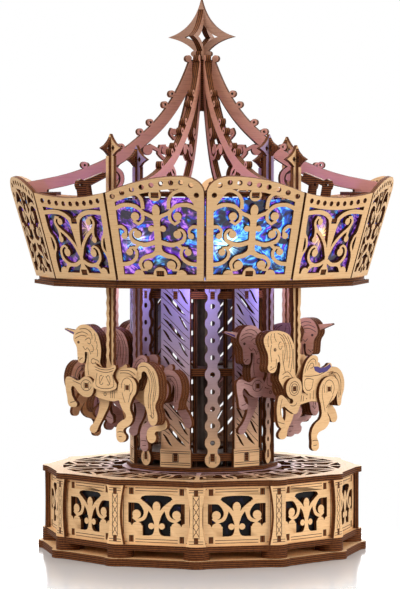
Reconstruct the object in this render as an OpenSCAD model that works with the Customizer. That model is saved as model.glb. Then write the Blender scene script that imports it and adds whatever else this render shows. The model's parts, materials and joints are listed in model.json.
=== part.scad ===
/* [Sheet stock] */
// Thickness of the thin plywood sheet
sheet = 2; // [1.8:0.1:2.2]
// Thickness of the thick plywood plates
plate = 3; // [2.8:0.1:3.2]
// Running clearance on the radius of each shaft in its bore
run_fit = 0.05; // [0.02:0.01:0.08]
// Gap between pieces that move past each other
gap = 0.3; // [0.25:0.05:0.4]
// Play around a tab in its slot
tab_play = 0.1; // [0.05:0.05:0.15]

/* [Base] */
// Distance from the axis to a corner of the two foot plates
foot_r = 87.5; // [86:0.5:92]
// Distance from the axis to a corner of the floor and the deck
base_r = 85; // [84:0.5:88]
// Width of the round lobe on each corner of those plates
lobe_w = 14; // [12:0.5:16]
// Height of the base panels
panel_h = 30; // [28:1:34]
// Distance from the axis to the outer face of a base panel
panel_a = 78.5; // [77:0.5:79.5]
// Width of a pilaster at its ends
pilaster_w = 10; // [9:0.5:11]
// Width of a pilaster at its waist
pilaster_waist = 5.8; // [5:0.2:7]
// Outer radius of the fretwork in the deck
deck_fret_r = 74; // [70:0.5:76]

/* [Drum] */
// Distance from the axis to the outer face of the drum columns
drum_a = 37.5; // [36:0.5:39]
// Width of a chain column
chain_w = 8; // [7:0.5:9]
// Distance between the lobes of a chain column
chain_pitch = 8.6; // [8:0.2:9.2]
// Width of a twisted column
twist_w = 17; // [15:0.5:18]
// Turn of the drum against the canopy, in degrees
drum_turn = 7.5; // [0:0.5:15]

/* [Canopy] */
// Height of the underside of the canopy above the table
canopy_z = 141; // [136:1:146]
// Distance from the axis to a corner of the canopy floor
canopy_r = 88.8; // [87:0.2:91]
// Outward lean of the canopy panels, in degrees
lean = 15.8; // [13:0.2:18]
// Length of a crest panel up its slope, at the crest
crest_h = 55; // [52:0.5:58]
// Length of a panel up its slope, at a seam
seam_h = 45.7; // [44:0.1:47]
// Turn of the canopy against the base, in degrees
canopy_turn = 3; // [0:0.5:8]
// Height of the shelf behind the crest panels
crest_shelf_z = 187.2; // [185:0.2:190]

/* [Roof] */
// Angle between a crest corner and the rib on each side of it
rib_turn = 20; // [18:0.5:24]
// Width of the curved band of a rib
rib_w = 5.6; // [5:0.2:7]
// Height of the centre of the star on the roof
star_z = 271; // [268:0.5:274]
// Half width of that star
star_w = 18.5; // [16:0.5:20]
// Radius of the roof hub
hub_r = 6; // [5:0.5:7]

/* [Drive] */
// Radius of the fixed mast
mast_r = 4; // [3.5:0.1:4.5]
// Height of the crankshafts
crank_z = 168; // [166:0.5:170]
// Throw of a crank
crank_throw = 2.9; // [2.4:0.1:3.2]
// Radius of a crankshaft and of its pins
crank_r = 1.5; // [1.2:0.1:1.8]
// Teeth of the fixed crown gear, a multiple of four
crown_teeth = 40; // [36:4:44]
// Teeth of a crank pinion
crank_teeth = 10; // [9:1:11]
// Distance from the axis to the middle of a crank pinion
crown_r = 25; // [24:0.5:26]
// Teeth of the drive gear
gear_teeth = 48; // [46:1:50]
// Teeth of the drive pinion, an even number
pinion_teeth = 16; // [14:2:18]
// Module of the drive gears
drive_module = 1.25; // [1.2:0.05:1.3]
// Radius of the turning bush under the drum
bush_r = 8; // [7:0.5:9]

/* [Music movement] */
// Radius of the spring barrel
barrel_r = 12; // [11.8:0.1:12.2]
// Radius of the pinned cylinder
cylinder_r = 6.3; // [6:0.1:6.4]
// Length of the pinned cylinder
cylinder_l = 19; // [17:0.5:19.5]
// Notes of the comb
notes = 18; // [16:1:20]

/* [Riders] */
// Distance from the axis to the outer poles
outer_pole_r = 67; // [65:0.5:68]
// Distance from the axis to the inner poles
inner_pole_r = 48; // [47:0.5:49]
// Width of a pole
pole_w = 5.6; // [5:0.2:6]
// Height of the middle of a pole's star, with its crank level
finial_z = 209; // [206:0.5:210]
// Height of a horse's lowest hoof, with its crank level
hoof_z = 59; // [56:0.5:62]

/* [Hidden] */

sides = 12;
half_side = 180 / sides;
front = -90;
ply = "burlywood";
dark_ply = "peru";
brass = "goldenrod";
steel = "silver";

// Levels of the base
spacer_z = 2 * sheet;
floor_z = 4 * sheet;
inner_z = floor_z + plate;
deck_under_z = inner_z + panel_h;
deck_z = deck_under_z + plate;
slot_w = 2.4;
slot_h = 3.4;
slot_edge = 1.2;
panel_half_w = (panel_a - sheet) * tan(half_side) - sheet / 2 - tab_play;
corner_slot_u = panel_half_w - 6;

// Levels of the drum and the canopy
drum_z = deck_z + gap;
column_z = drum_z + sheet;
canopy_floor_z = canopy_z + sheet;
canopy_top_z = canopy_floor_z + sheet;
drum_in_a = drum_a - sheet;
ring_h = 2 * sheet;
ring_levels = [column_z + 3.2, 93.7, canopy_floor_z - 9.2];
panel_foot_a = canopy_r * cos(half_side) - 0.8;
canopy_angle = front + canopy_turn;
crank_angle = canopy_angle + 45;
drum_angle = canopy_angle + drum_turn;

// Drive train
drive_z = 33;
drive_r = drive_module * gear_teeth / 2;
pinion_r = drive_module * pinion_teeth / 2;
barrel_y = drive_r + pinion_r;
crank_gear_r = crown_r * crank_teeth / crown_teeth;
crown_z = crank_z - crank_gear_r;
tooth_w = 1.15;
web_t = 1.5;
web_r = crank_throw + crank_r + 1;
pin_half = 3;

// Music movement
bedplate_z = inner_z + sheet;
barrel_z = bedplate_z + gap;
barrel_top = 26;
barrel_teeth = 36;
cylinder_teeth = 8;
contrate_r = barrel_r - 0.8;
cylinder_gear_r = contrate_r * cylinder_teeth / barrel_teeth;
contrate_h = 1.2;
cylinder_z = barrel_top + contrate_h / 2 + cylinder_gear_r + 0.4;
arbor_r = 1;
wheel_module = 0.5;
wheel_teeth = 24;
fly_teeth = 8;
fly_y = barrel_y - wheel_module * (wheel_teeth + fly_teeth) / 2;
bracket_x = [13.3, 38, 45.6];
bracket_t = 1.2;
cylinder_x = 15;
wheel_x = cylinder_x + cylinder_l + 0.6;
key_r = 1.6;
key_well_r = 14;
barrel_arbor_r = 2;

function polar(r, a) = [r * cos(a), r * sin(a)];
function blend(a, b, c, d, t) = 0.5 * (2 * b + (c - a) * t + (2 * a - 5 * b + 4 * c - d) * t * t
    + (3 * b - a - 3 * c + d) * t * t * t);
// Smooth open curve through the points p, n steps between each pair
function smooth(p, n) = let (m = len(p) - 1)
    [for (i = [0:m - 1], k = [0:n - 1])
        blend(p[max(i - 1, 0)], p[i], p[i + 1], p[min(i + 2, m)], k / n), p[m]];
// Smooth closed curve through the points p, n steps between each pair
function loop(p, n) = let (m = len(p))
    [for (i = [0:m - 1], k = [0:n - 1])
        blend(p[(i + m - 1) % m], p[i], p[(i + 1) % m], p[(i + 2) % m], k / n)];
function step(p, i) = p[min(i + 1, len(p) - 1)] - p[max(i - 1, 0)];
// Point beside the curve p at its point i, at the distance h to the left
function beside(p, i, h) = let (d = step(p, i)) p[i] + h / norm(d) * [-d[1], d[0]];

// Strip along the curve p, w0 wide at its start and w1 at its end
module ribbon(p, w0, w1) {
    n = len(p) - 1;
    left = [for (i = [0:n]) beside(p, i, (w0 + (w1 - w0) * i / n) / 2)];
    right = [for (i = [n:-1:0]) beside(p, i, -(w0 + (w1 - w0) * i / n) / 2)];
    polygon(concat(left, right));
}

// Disc at c
module ball(c, r) translate(c) circle(r, $fn = 8);

// Both halves of a pattern that is symmetric about the line x = 0
module both() {
    children();
    mirror([1, 0]) children();
}

// Copies around the axis at n even steps, the first at the angle a
module around(n, a) for (i = [0:n - 1]) rotate(a + i * 360 / n) children();

// Sheet t thick cut to a flat shape
module cut(t) linear_extrude(t) offset(delta = 0) children();

// Puts a flat shape in x and y upright, x along the side and y up, facing outwards
module upright() rotate([90, 0, 90]) children();

// Puts a flat shape in x and y in the radial plane, centred on it
module radial(t) translate([0, t / 2, 0]) rotate([90, 0, 0]) cut(t) children();

// Rod along the radial direction, from x0 to x1
module rod(r, x0, x1) translate([x0, 0, 0]) rotate([0, 90, 0]) cylinder(r = r, h = x1 - x0, $fn = 32);

// Outline of a twelve-sided plate with a round lobe on each corner
module lobed(r) union() {
    circle(r - 1.5, $fn = sides);
    around(sides, front) translate([r - lobe_w / 2, 0]) circle(d = lobe_w, $fn = 16);
}

// One flank of an involute tooth, from its root at r0 to its tip at r1
function involute(rb, r) = let (t = sqrt(max(0, (r / rb) * (r / rb) - 1))) t * 180 / PI - atan(t);
function flank(rb, r0, r1, half, n) =
    [for (i = [0:n]) let (r = r0 + (r1 - r0) * i / n) polar(r, half - involute(rb, r))];

// Flat spur gear: n teeth of module m, with the backlash b between its teeth and its mate's
module spur(n, m, b) {
    pitch = n * m / 2;
    base = pitch * cos(20);
    half = 90 / n - b / 2 / pitch * 180 / PI + involute(base, pitch);
    side = flank(base, max(base, pitch - 1.1 * m), pitch + 0.95 * m, half, 1);
    for (i = [0:n - 1]) rotate(i * 360 / n)
        polygon(concat([polar(pitch - 1.5 * m, half)], side,
            [for (k = [1:-1:0]) [side[k][0], -side[k][1]]], [polar(pitch - 1.5 * m, -half)]));
    circle(pitch - 1.25 * m, $fn = n);
}

// Straight-sided gear for a right-angle mesh: teeth w wide at the pitch radius
module peg_gear(n, pitch, w, tip, root) {
    for (i = [0:n - 1]) rotate(i * 360 / n) polygon([
        [pitch - root - 0.5, w * 0.62], [pitch, w / 2], [pitch + tip, w * 0.3],
        [pitch + tip, -w * 0.3], [pitch, -w / 2], [pitch - root - 0.5, -w * 0.62]]);
    circle(pitch - root, $fn = n);
}

// Base

module foot_plates() color(ply) cut(spacer_z) difference() {
        lobed(foot_r);
        translate([0, barrel_y]) circle(key_well_r, $fn = 36);
    }

module plinth_spacers() color(dark_ply) translate([0, 0, spacer_z])
    around(sides, front) cut(floor_z - spacer_z) union() {
        translate([base_r - lobe_w / 2 + 0.3, 0]) circle(d = lobe_w - 0.6, $fn = 12);
        translate([base_r - lobe_w, 3.4 - lobe_w / 2]) square([lobe_w / 2, lobe_w - 6.8]);
    }

module base_floor() color(ply) translate([0, 0, floor_z]) difference() {
    cut(plate) lobed(base_r);
    translate([0, barrel_y, -1]) cylinder(r = key_r + run_fit, h = plate + 2, $fn = 32);
}

// Window of a base panel, with its fleur-de-lis left standing; y is up from the panel's lower edge
module base_window() difference() {
    union() {
        translate([-15, 9.6]) square([30, 11.6]);
        translate([-7.4, 4.6]) square([14.8, 9]);
        polygon([[-7.4, 25.2], [7.4, 25.2], [8.6, 23], [4, 19], [0, 17], [-4, 19], [-8.6, 23]]);
    }
    both() {
        ball([10.4, 8.8], 2.9);
        ball([14.8, 9.6], 1.6);
        ribbon([[16, 23.4], [8.4, 21.9], [5.3, 17.2], [6.6, 13.2], [10, 12.1], [12.5, 14]], 2.6, 1.7);
        ball([10.6, 15.4], 2.4);
        ribbon([[7.6, 21.4], [4, 18.6], [1.6, 15.4], [0.8, 12.6]], 2, 2);
        ball([2.8, 9.5], 1.7);
    }
    translate([0, 19.3]) scale([0.76, 1]) circle(2.8, $fn = 12);
    polygon([[-2.6, 17.6], [2.6, 17.6], [1.3, 11], [1.2, 7],
        [2.6, 4.4], [-2.6, 4.4], [-1.2, 7], [-1.3, 11]]);
}

// Slots for the tabs at the four corners of a base panel
module corner_slots() both() for (v = [slot_edge, panel_h - slot_edge - slot_h])
    translate([corner_slot_u - slot_w / 2, v]) square([slot_w, slot_h]);

module base_panels() color(ply) around(sides, front + half_side) translate([panel_a - sheet, 0, inner_z])
    upright() cut(sheet) difference() {
        translate([-panel_half_w, 0]) square([2 * panel_half_w, panel_h]);
        base_window();
        corner_slots();
    }

// Upright strip with two tabs that reach the distance out beyond its front edge
module tabbed_rib(depth, out) {
    translate([-depth, 0]) square([depth, panel_h]);
    for (v = [slot_edge, panel_h - slot_edge - slot_h])
        translate([-1, v + tab_play]) square([out + 1, slot_h - 2 * tab_play]);
}

module base_ribs() color(dark_ply) translate([0, 0, inner_z]) {
    corner = panel_a / cos(half_side);
    around(sides, front) translate([corner, 0, 0]) radial(sheet) tabbed_rib(9, sheet);
    around(sides, front + half_side) for (s = [-1, 1]) translate([panel_a - sheet, s * corner_slot_u, 0])
        radial(slot_w - 2 * tab_play) tabbed_rib(4, sheet);
}

module base_pilasters() color(ply) around(sides, front) translate([panel_a / cos(half_side), 0, inner_z])
    upright() cut(sheet) difference() {
        polygon(concat(
            [for (i = [0:6]) [hourglass(i / 6), panel_h * i / 6]],
            [for (i = [6:-1:0]) [-hourglass(i / 6), panel_h * i / 6]]));
        for (v = [slot_edge, panel_h - slot_edge - slot_h])
            translate([-sheet / 2 - tab_play, v]) square([sheet + 2 * tab_play, slot_h]);
    }
// Half width of a pilaster at the share t of its height
function hourglass(t) = pilaster_waist / 2 + (pilaster_w - pilaster_waist) / 2 * pow(abs(2 * t - 1), 1.7);

// One of twelve scroll motifs of the deck, between the radii 40 and deck_fret_r
module deck_motif() {
    half = deck_fret_r * tan(half_side);
    both() {
        ribbon([[0, deck_fret_r + 1], [7, 70], [13.6, 66], [12.6, 59.6], [8, 60.2]], 2, 1.7);
        ribbon([[half - 0.6, 70], [15.4, 58], [10.8, 52.8], [5.4, 53.8]], 1.9, 1.6);
        ribbon([[0, deck_fret_r + 1], [3, 63], [0.2, 51]], 1.8, 1.8);
        ribbon([[0, 52], [6, 47.4], [12.4, 50]], 1.9, 1.9);
        ribbon([[half, deck_fret_r + 1], [41 * tan(half_side), 40]], 2, 2);
    }
}

module deck_plate() color(ply) translate([0, 0, deck_under_z]) difference() {
    cut(plate) difference() {
        lobed(base_r);
        difference() {
            circle(deck_fret_r, $fn = 36);
            circle(drum_a + 5, $fn = 36);
            around(sides, half_side) deck_motif();
        }
    }
    translate([0, 0, -1]) cylinder(r = bush_r + gap, h = plate + 2, $fn = 48);
    translate([0, barrel_y, -1]) cylinder(r = barrel_arbor_r + run_fit, h = plate + 2, $fn = 32);
}

module centre_mast() color(steel) translate([0, 0, inner_z])
    cylinder(r = mast_r, h = crown_z + plate / 2 + 3 - inner_z, $fn = 48);

module mast_foot() color(dark_ply) translate([0, 0, inner_z]) difference() {
    union() {
        cylinder(r = 14, h = sheet, $fn = 48);
        cylinder(r = bush_r, h = 8, $fn = 48);
    }
    translate([0, 0, -1]) cylinder(r = mast_r + run_fit / 2, h = 10, $fn = 48);
}

module crown_gear() color(ply) {
    translate([0, 0, crown_z - plate / 2]) difference() {
        rotate(crank_angle) cut(plate)
            peg_gear(crown_teeth, crown_r, tooth_w, 1.5, 2.2);
        translate([0, 0, -1]) cylinder(r = mast_r + run_fit / 2, h = plate + 2, $fn = 48);
    }
    translate([0, 0, crown_z - plate / 2 - 3]) difference() {
        cylinder(r = 8, h = 3, $fn = 48);
        translate([0, 0, -1]) cylinder(r = mast_r + run_fit / 2, h = 5, $fn = 48);
    }
}

// Music movement

module movement_bedplate() color(brass) difference() {
    translate([0, 0, inner_z]) linear_extrude(sheet) polygon([[-16, fly_y - 6], [50, fly_y - 6],
        [50, barrel_y + 4], [36, barrel_y + 20], [-16, barrel_y + 20]]);
    translate([0, barrel_y, inner_z - 1]) cylinder(r = key_r + run_fit, h = sheet + 2, $fn = 32);
    for (p = screw_places) translate([p[0], p[1], inner_z - 1]) cylinder(r = 1.1, h = sheet + 2, $fn = 24);
}
screw_places = [[-13, fly_y - 3], [47, fly_y + 7], [-13, barrel_y + 17], [40, barrel_y + 10]];

module movement_screws() color(steel) for (p = screw_places) translate([p[0], p[1], inner_z]) difference() {
    union() {
        cylinder(r = 1, h = sheet, $fn = 24);
        translate([0, 0, sheet]) cylinder(r = 2, h = 1.2, $fn = 24);
    }
    translate([-2.5, -0.25, sheet + 0.6]) cube([5, 0.5, 1]);
}

comb_tip_y = barrel_y + cylinder_r + 0.5 + gap;
comb_l = 8;
module movement_comb() color(steel) {
    pitch = cylinder_l / notes;
    translate([cylinder_x, comb_tip_y, cylinder_z - 0.5]) cut(1) difference() {
        square([cylinder_l, comb_l + 5]);
        for (i = [1:notes - 1]) translate([i * pitch - 0.2, -1]) square([0.4, comb_l - 3 + 3 * i / notes]);
    }
    translate([cylinder_x, comb_tip_y + comb_l + 0.5, bedplate_z])
        cube([cylinder_l, 4, cylinder_z - 0.5 - bedplate_z]);
}

module movement_brackets() color(brass) for (i = [0:2]) translate([bracket_x[i], 0, 0]) difference() {
    y0 = i == 0 ? barrel_y - 4 : fly_y - 4;
    y1 = i == 2 ? fly_y + 4 : barrel_y + 4;
    translate([0, y0, bedplate_z]) cube([bracket_t, y1 - y0, cylinder_z + 3 - bedplate_z]);
    if (i < 2) translate([0, barrel_y, cylinder_z]) rod(arbor_r + run_fit, -1, bracket_t + 1);
    if (i > 0) translate([0, fly_y, cylinder_z]) rod(arbor_r + run_fit, -1, bracket_t + 1);
}

module spring_barrel() color(brass) translate([0, barrel_y, 0]) {
    translate([0, 0, barrel_z]) cylinder(r = barrel_r, h = barrel_top - barrel_z, $fn = 64);
    around(barrel_teeth, 180 / barrel_teeth) translate([contrate_r - 0.8, -0.35, barrel_top - 0.5])
        cube([1.5, 0.7, contrate_h + 0.5]);
    translate([0, 0, barrel_top - 1])
        cylinder(r = barrel_arbor_r, h = deck_z - 0.6 - barrel_top + 1, $fn = 32);
}

module drive_pinion() color(dark_ply) translate([0, barrel_y, drive_z]) difference() {
    rotate(90 + 180 / pinion_teeth) cut(plate)
        spur(pinion_teeth, drive_module, 0.3);
    translate([0, 0, -1]) cylinder(r = barrel_arbor_r + run_fit / 2, h = plate + 2, $fn = 32);
}

module music_cylinder() color(brass) translate([0, barrel_y, cylinder_z]) {
    difference() {
        union() {
            rod(cylinder_r, cylinder_x, cylinder_x + cylinder_l);
            for (i = [0:notes - 1]) rotate([47 * i + 20, 0, 0])
                translate([cylinder_x + (i + 0.5) * cylinder_l / notes, 0, 0])
                cylinder(r = 0.25, h = cylinder_r + 0.5, $fn = 16);
        }
        rod(arbor_r, cylinder_x - 1, cylinder_x + cylinder_l + 1);
    }
    rod(arbor_r, contrate_r - 2, bracket_x[1] + bracket_t + 0.6);
    translate([contrate_r - 1, 0, 0]) upright() difference() {
        cut(2) peg_gear(cylinder_teeth, cylinder_gear_r, 0.7, 0.6, 0.75);
        translate([0, 0, -1]) cylinder(r = arbor_r, h = 4, $fn = 32);
    }
    translate([wheel_x, 0, 0]) upright() difference() {
        cut(1.2) spur(wheel_teeth, wheel_module, 0.16);
        translate([0, 0, -1]) cylinder(r = arbor_r, h = 4, $fn = 32);
    }
}

module governor_fly() color(steel) translate([0, fly_y, cylinder_z]) {
    difference() {
        translate([wheel_x, 0, 0]) upright() cut(1.2)
            rotate(180 / fly_teeth) spur(fly_teeth, wheel_module, 0.16);
        rod(arbor_r, wheel_x - 1, wheel_x + 3);
    }
    rod(arbor_r, wheel_x, bracket_x[2] + bracket_t + 0.6);
    difference() {
        translate([bracket_x[1] + 3, -4.5, -0.9]) cube([3.6, 9, 1.8]);
        rod(arbor_r, bracket_x[1], bracket_x[2]);
    }
}

module winding_key() color(brass) translate([0, barrel_y, 0]) {
    translate([0, 0, 5]) cylinder(r = key_r, h = bedplate_z - 5, $fn = 32);
    radial(2.4) difference() {
        union() {
            translate([-8, 2.4]) square([16, 3.4]);
            both() ball([6.4, 4.1], 3.1);
        }
        both() ball([6.6, 4.1], 1.5);
    }
}

// Drum and its drive

module drive_gear() color(dark_ply) translate([0, 0, drive_z]) difference() {
    cut(plate) difference() {
        rotate(90) spur(gear_teeth, drive_module, 0.3);
        around(6, 30) translate([drive_r * 0.58, 0]) circle(5, $fn = 24);
    }
    translate([0, 0, -1]) cylinder(r = bush_r + run_fit / 2, h = plate + 2, $fn = 48);
}

module drum_bush() color(dark_ply) difference() {
    translate([0, 0, inner_z + 8 + gap])
        cylinder(r = bush_r, h = column_z + 6 - inner_z - 8 - gap, $fn = 48);
    translate([0, 0, inner_z]) cylinder(r = mast_r + run_fit, h = column_z + 10 - inner_z, $fn = 48);
}

rod_circle_r = drum_in_a - 4.6;
rod_r = 1.2;
module drum_disc(z, h, shape_r, bore) translate([0, 0, z]) difference() {
    cut(h) rotate(drum_angle + half_side) union() {
        circle(shape_r, $fn = sides);
        children();
    }
    translate([0, 0, -1]) cylinder(r = bore, h = h + 2, $fn = 48);
    if (z > column_z) around(sides, drum_angle + half_side) translate([rod_circle_r, 0, -1])
        cylinder(r = rod_r + run_fit / 2, h = h + 2, $fn = 20);
}

module drum_frame() color(dark_ply) {
    drum_disc(drum_z, sheet, (drum_a + 1.6) / cos(half_side), bush_r + run_fit / 2);
    for (i = [0:2]) drum_disc(ring_levels[i], ring_h, drum_in_a / cos(half_side), 14)
        if (i != 1) around(sides, half_side) translate([0, tab_play - slot_w / 2])
            square([drum_a, slot_w - 2 * tab_play]);
    around(sides, drum_angle + half_side) translate([rod_circle_r, 0, column_z + run_fit])
        cylinder(r = rod_r, h = canopy_floor_z - column_z - run_fit, $fn = 20);
}

column_h = canopy_floor_z - column_z;
// Slots of a column for the tabs of the lowest and the highest ring
module ring_slots() for (i = [0, 2]) translate([-slot_w / 2, ring_levels[i] - column_z - tab_play])
    square([slot_w, ring_h + 2 * tab_play]);

function chain_n() = floor(column_h / chain_pitch);
function chain_step() = (column_h - chain_w) / (chain_n() - 1);
module chain_shape() difference() {
    union() {
        for (i = [0:chain_n() - 1]) translate([0, chain_w / 2 + i * chain_step()]) rotate(22.5)
            circle(d = chain_w / cos(22.5), $fn = 8);
        translate([-chain_w * 0.32, chain_w / 2]) square([chain_w * 0.64, column_h - chain_w]);
    }
    ring_slots();
}

module chain_columns() color(ply) around(sides / 2, drum_angle) translate([drum_in_a, 0, column_z])
    upright() difference() {
        cut(sheet) chain_shape();
        for (i = [1:chain_n() - 2]) translate([0, chain_w / 2 + i * chain_step(), -1])
            cylinder(r = 1.3, h = sheet + 2, $fn = 16);
    }

twist_pitch = 13.6;
plinth_h = 10;
// Slanting slit between two strands, from a to b, w wide in its middle
module slit(a, b, w) {
    mid = (a + b) / 2;
    n = [a[1] - b[1], b[0] - a[0]] * w / 2 / norm(b - a);
    polygon([a, (a + mid) / 2 + n, b, (b + mid) / 2 - n]);
}

module twist_shape() {
    edge = twist_w / 2;
    turns = floor((column_h - plinth_h) / twist_pitch);
    difference() {
        union() {
            translate([-edge + 0.4, plinth_h - 2]) square([twist_w - 0.8, column_h - plinth_h + 2]);
            translate([-edge, 0]) square([twist_w, plinth_h - 0.6]);
        }
        for (i = [0:turns - 1]) translate([0, plinth_h + i * twist_pitch]) {
            slit([1.4 - edge, 13.2], [edge - 2.6, 0.9], 2.6);
            slit([1.6, 14.6], [edge - 1.2, 6.6], 1.9);
            slit([1.3 - edge, 7.4], [-1.6, 0.6], 1.9);
        }
        ring_slots();
    }
}

module twist_columns() color(ply) around(sides / 2, drum_angle + 2 * half_side)
    translate([drum_in_a, 0, column_z]) upright() cut(sheet) twist_shape();

// Canopy

// Apothem of the inner face of the leaning panels at the height z
function panel_in_a(z) = panel_foot_a + (z - canopy_top_z) * tan(lean) - sheet / cos(lean);
// Half width of a panel at the length v up its slope
function panel_u(v) = (panel_foot_a + v * sin(lean) - sheet * cos(lean)) * tan(half_side) - 0.15;
function slope_v(z) = (z - canopy_top_z) / cos(lean);

pole_slot_u = pole_w / 2 + crank_throw + gap + 0.3;
pole_slot_r = pole_w / 2 + gap + 0.2;
module pole_slots() around(4, crank_angle) for (r = [inner_pole_r, outer_pole_r])
    translate([r - pole_slot_r, -pole_slot_u]) square([2 * pole_slot_r, 2 * pole_slot_u]);

module canopy_rim() color(dark_ply) translate([0, 0, canopy_z]) around(sides, canopy_angle + half_side)
    linear_extrude(sheet) polygon([
        [(canopy_r - 11) * cos(half_side), (canopy_r - 11) * sin(half_side) - 0.15],
        [canopy_r * cos(half_side), canopy_r * sin(half_side) - 0.15],
        [canopy_r * cos(half_side), 0.15 - canopy_r * sin(half_side)],
        [(canopy_r - 11) * cos(half_side), 0.15 - (canopy_r - 11) * sin(half_side)]]);

module canopy_floor() color(ply) difference() {
    union() {
        translate([0, 0, canopy_floor_z]) cut(sheet) difference() {
            rotate(canopy_angle) circle(canopy_r, $fn = sides);
            pole_slots();
        }
        translate([0, 0, canopy_top_z - 0.5]) cylinder(r = 10, h = 5, $fn = 48);
    }
    translate([0, 0, canopy_floor_z - 1]) cylinder(r = mast_r + run_fit, h = 12, $fn = 48);
}

// Puts a flat shape on the leaning plane of a canopy panel, x along the side and y up the slope
module leaning() translate([panel_foot_a, 0, canopy_top_z]) rotate([0, lean, 0]) translate([-sheet, 0, 0])
    upright() children();

// Height of a crest panel's top edge at the place u across it, the crest at its left
crest_u = -14;
function crest_top(u) = let (seam_u = panel_u(seam_h), drop = crest_h - 0.7 - seam_h)
    crest_h - 0.7 - drop * pow((u - crest_u) / (seam_u - crest_u), 2);
function low_top(u) = seam_h - 2.6 + 2.6 * pow(u / panel_u(seam_h), 2);
tab_w = 4;
dot_r = 1.35;
tab_slot_h = sheet / cos(lean) + sheet * tan(lean) + 2 * tab_play;
block_slot_v = slope_v(canopy_top_z + 3.6);
crest_slot_v = slope_v(crest_shelf_z + sheet / 2) - sheet * tan(lean) / 2;
axle_shelf_z = crank_z + 6;
axle_slot_v = slope_v(axle_shelf_z + sheet / 2) - sheet * tan(lean) / 2;
module tab_slot(v) translate([-tab_w / 2, v - tab_slot_h / 2]) square([tab_w, tab_slot_h]);

module crest_outline() {
    polygon(concat([[panel_u(0), 0], [panel_u(seam_h), seam_h]],
        [for (i = [5:-1:0]) let (u = crest_u + (panel_u(seam_h) - crest_u) * i / 6) [u, crest_top(u)]],
        [for (a = [18:18:90]) let (v = crest_h - 0.7 - 9 * (1 - cos(a)))
            [crest_u - (panel_u(v) + crest_u) * sin(a), v]],
        [[-panel_u(0), 0]]));
}

module crest_window() {
    side = 3.6;
    difference() {
        polygon(concat([[side - panel_u(3), 3.2], [panel_u(3) - side, 3.2],
            [panel_u(38) - side - 0.4, crest_top(21) - 6.4]],
            [for (u = [12:-8:-12]) [u, crest_top(u) - 6.4]],
            [[-16, crest_h - 10], [-19.4, crest_h - 14.6], [side - panel_u(36), 36]]));
        ball([0, crest_slot_v], 3.4);
        ball([0, block_slot_v], 3.6);
        both() ball([11, 3], 2.9);
    }
}

module crest_scrolls() both() {
    ribbon([[0, 38], [0, 13.5]], 3.2, 3.6);
    translate([0, 36.6]) scale([0.78, 1.2]) circle(2.7, $fn = 10);
    ball([3, 27.2], 1.7);
    ribbon([[0.5, 20.4], [7, 18.4], [13.2, 20.6], [14.4, 24.2], [12.6, 26.7], [10.6, 26.3]], 2.4, 1.4);
    ball([10.3, 24.2], 2.2);
    ribbon([[22, 37.2], [16.4, 39.8], [10.6, 39.2], [6.8, 35.8],
        [6.9, 31.6], [9.4, 29.6], [12, 31.4]], 2.2, 1.5);
    ball([10.9, 33.6], 2.3);
    ribbon([[7, 35.6], [1, 33]], 1.7, 2);
    ribbon([[14.4, 47.6], [9.6, 45.8], [6.8, 42.4], [6.6, 37.4]], 1.6, 1.9);
    ball([17.2, 23.4], 1.7);
    ribbon([[21.6, 28], [18.2, 28.4], [16.2, 26.4], [16.4, 24.2]], 1.9, 1.4);
    ribbon([[20.5, 8.4], [15.4, 8.9], [11.8, 11.5], [11.3, 15], [13, 17.4], [15.2, 16.9]], 2.2, 1.3);
    ball([15.1, 15], 1.9);
    ribbon([[10.2, 18.8], [12.4, 16.6]], 1.8, 1.6);
    ribbon([[0.8, 15], [3.8, 13], [8, 12.3], [10.4, 9], [9, 5.7], [6.4, 5.9]], 2.6, 1.4);
    ball([6, 8.2], 2.5);
}

crest_dots = concat([[-21.4, crest_h - 10.4]],
    [for (i = [0:8]) let (u = 5.1 * i - 18.9) [u, crest_top(max(u, crest_u)) - (i == 0 ? 4.6 : 3.2)]]);
module crest_shape() difference() {
    union() {
        difference() {
            crest_outline();
            crest_window();
        }
        intersection() {
            crest_outline();
            crest_scrolls();
        }
    }
    tab_slot(crest_slot_v);
    tab_slot(block_slot_v);
}

// Round dots cut through a panel at the places p
module dots(p) for (q = p) translate([q[0], q[1], -1]) cylinder(r = dot_r, h = sheet + 2, $fn = 16);

module crest_panels() color(ply) around(4, canopy_angle) {
    rotate(half_side) leaning() difference() {
        cut(sheet) crest_shape();
        dots(crest_dots);
    }
    rotate(-half_side) leaning() mirror([1, 0]) difference() {
        cut(sheet) crest_shape();
        dots(crest_dots);
    }
}

module low_outline() polygon(concat([[-panel_u(0), 0], [panel_u(0), 0]],
    [for (i = [6:-1:-6]) let (u = panel_u(seam_h) * i / 6) [u, low_top(u)]]));

module low_window() {
    side = 3.8;
    difference() {
        polygon(concat([[side - panel_u(3), 3.4], [panel_u(3) - side, 3.4]],
            [for (i = [3:-1:-3]) let (u = (panel_u(37) - side) * i / 3) [u, low_top(u) - 6.4]]));
        ball([0, block_slot_v], 3.4);
        both() ball([14.6, 4], 2.6);
    }
}

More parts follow.
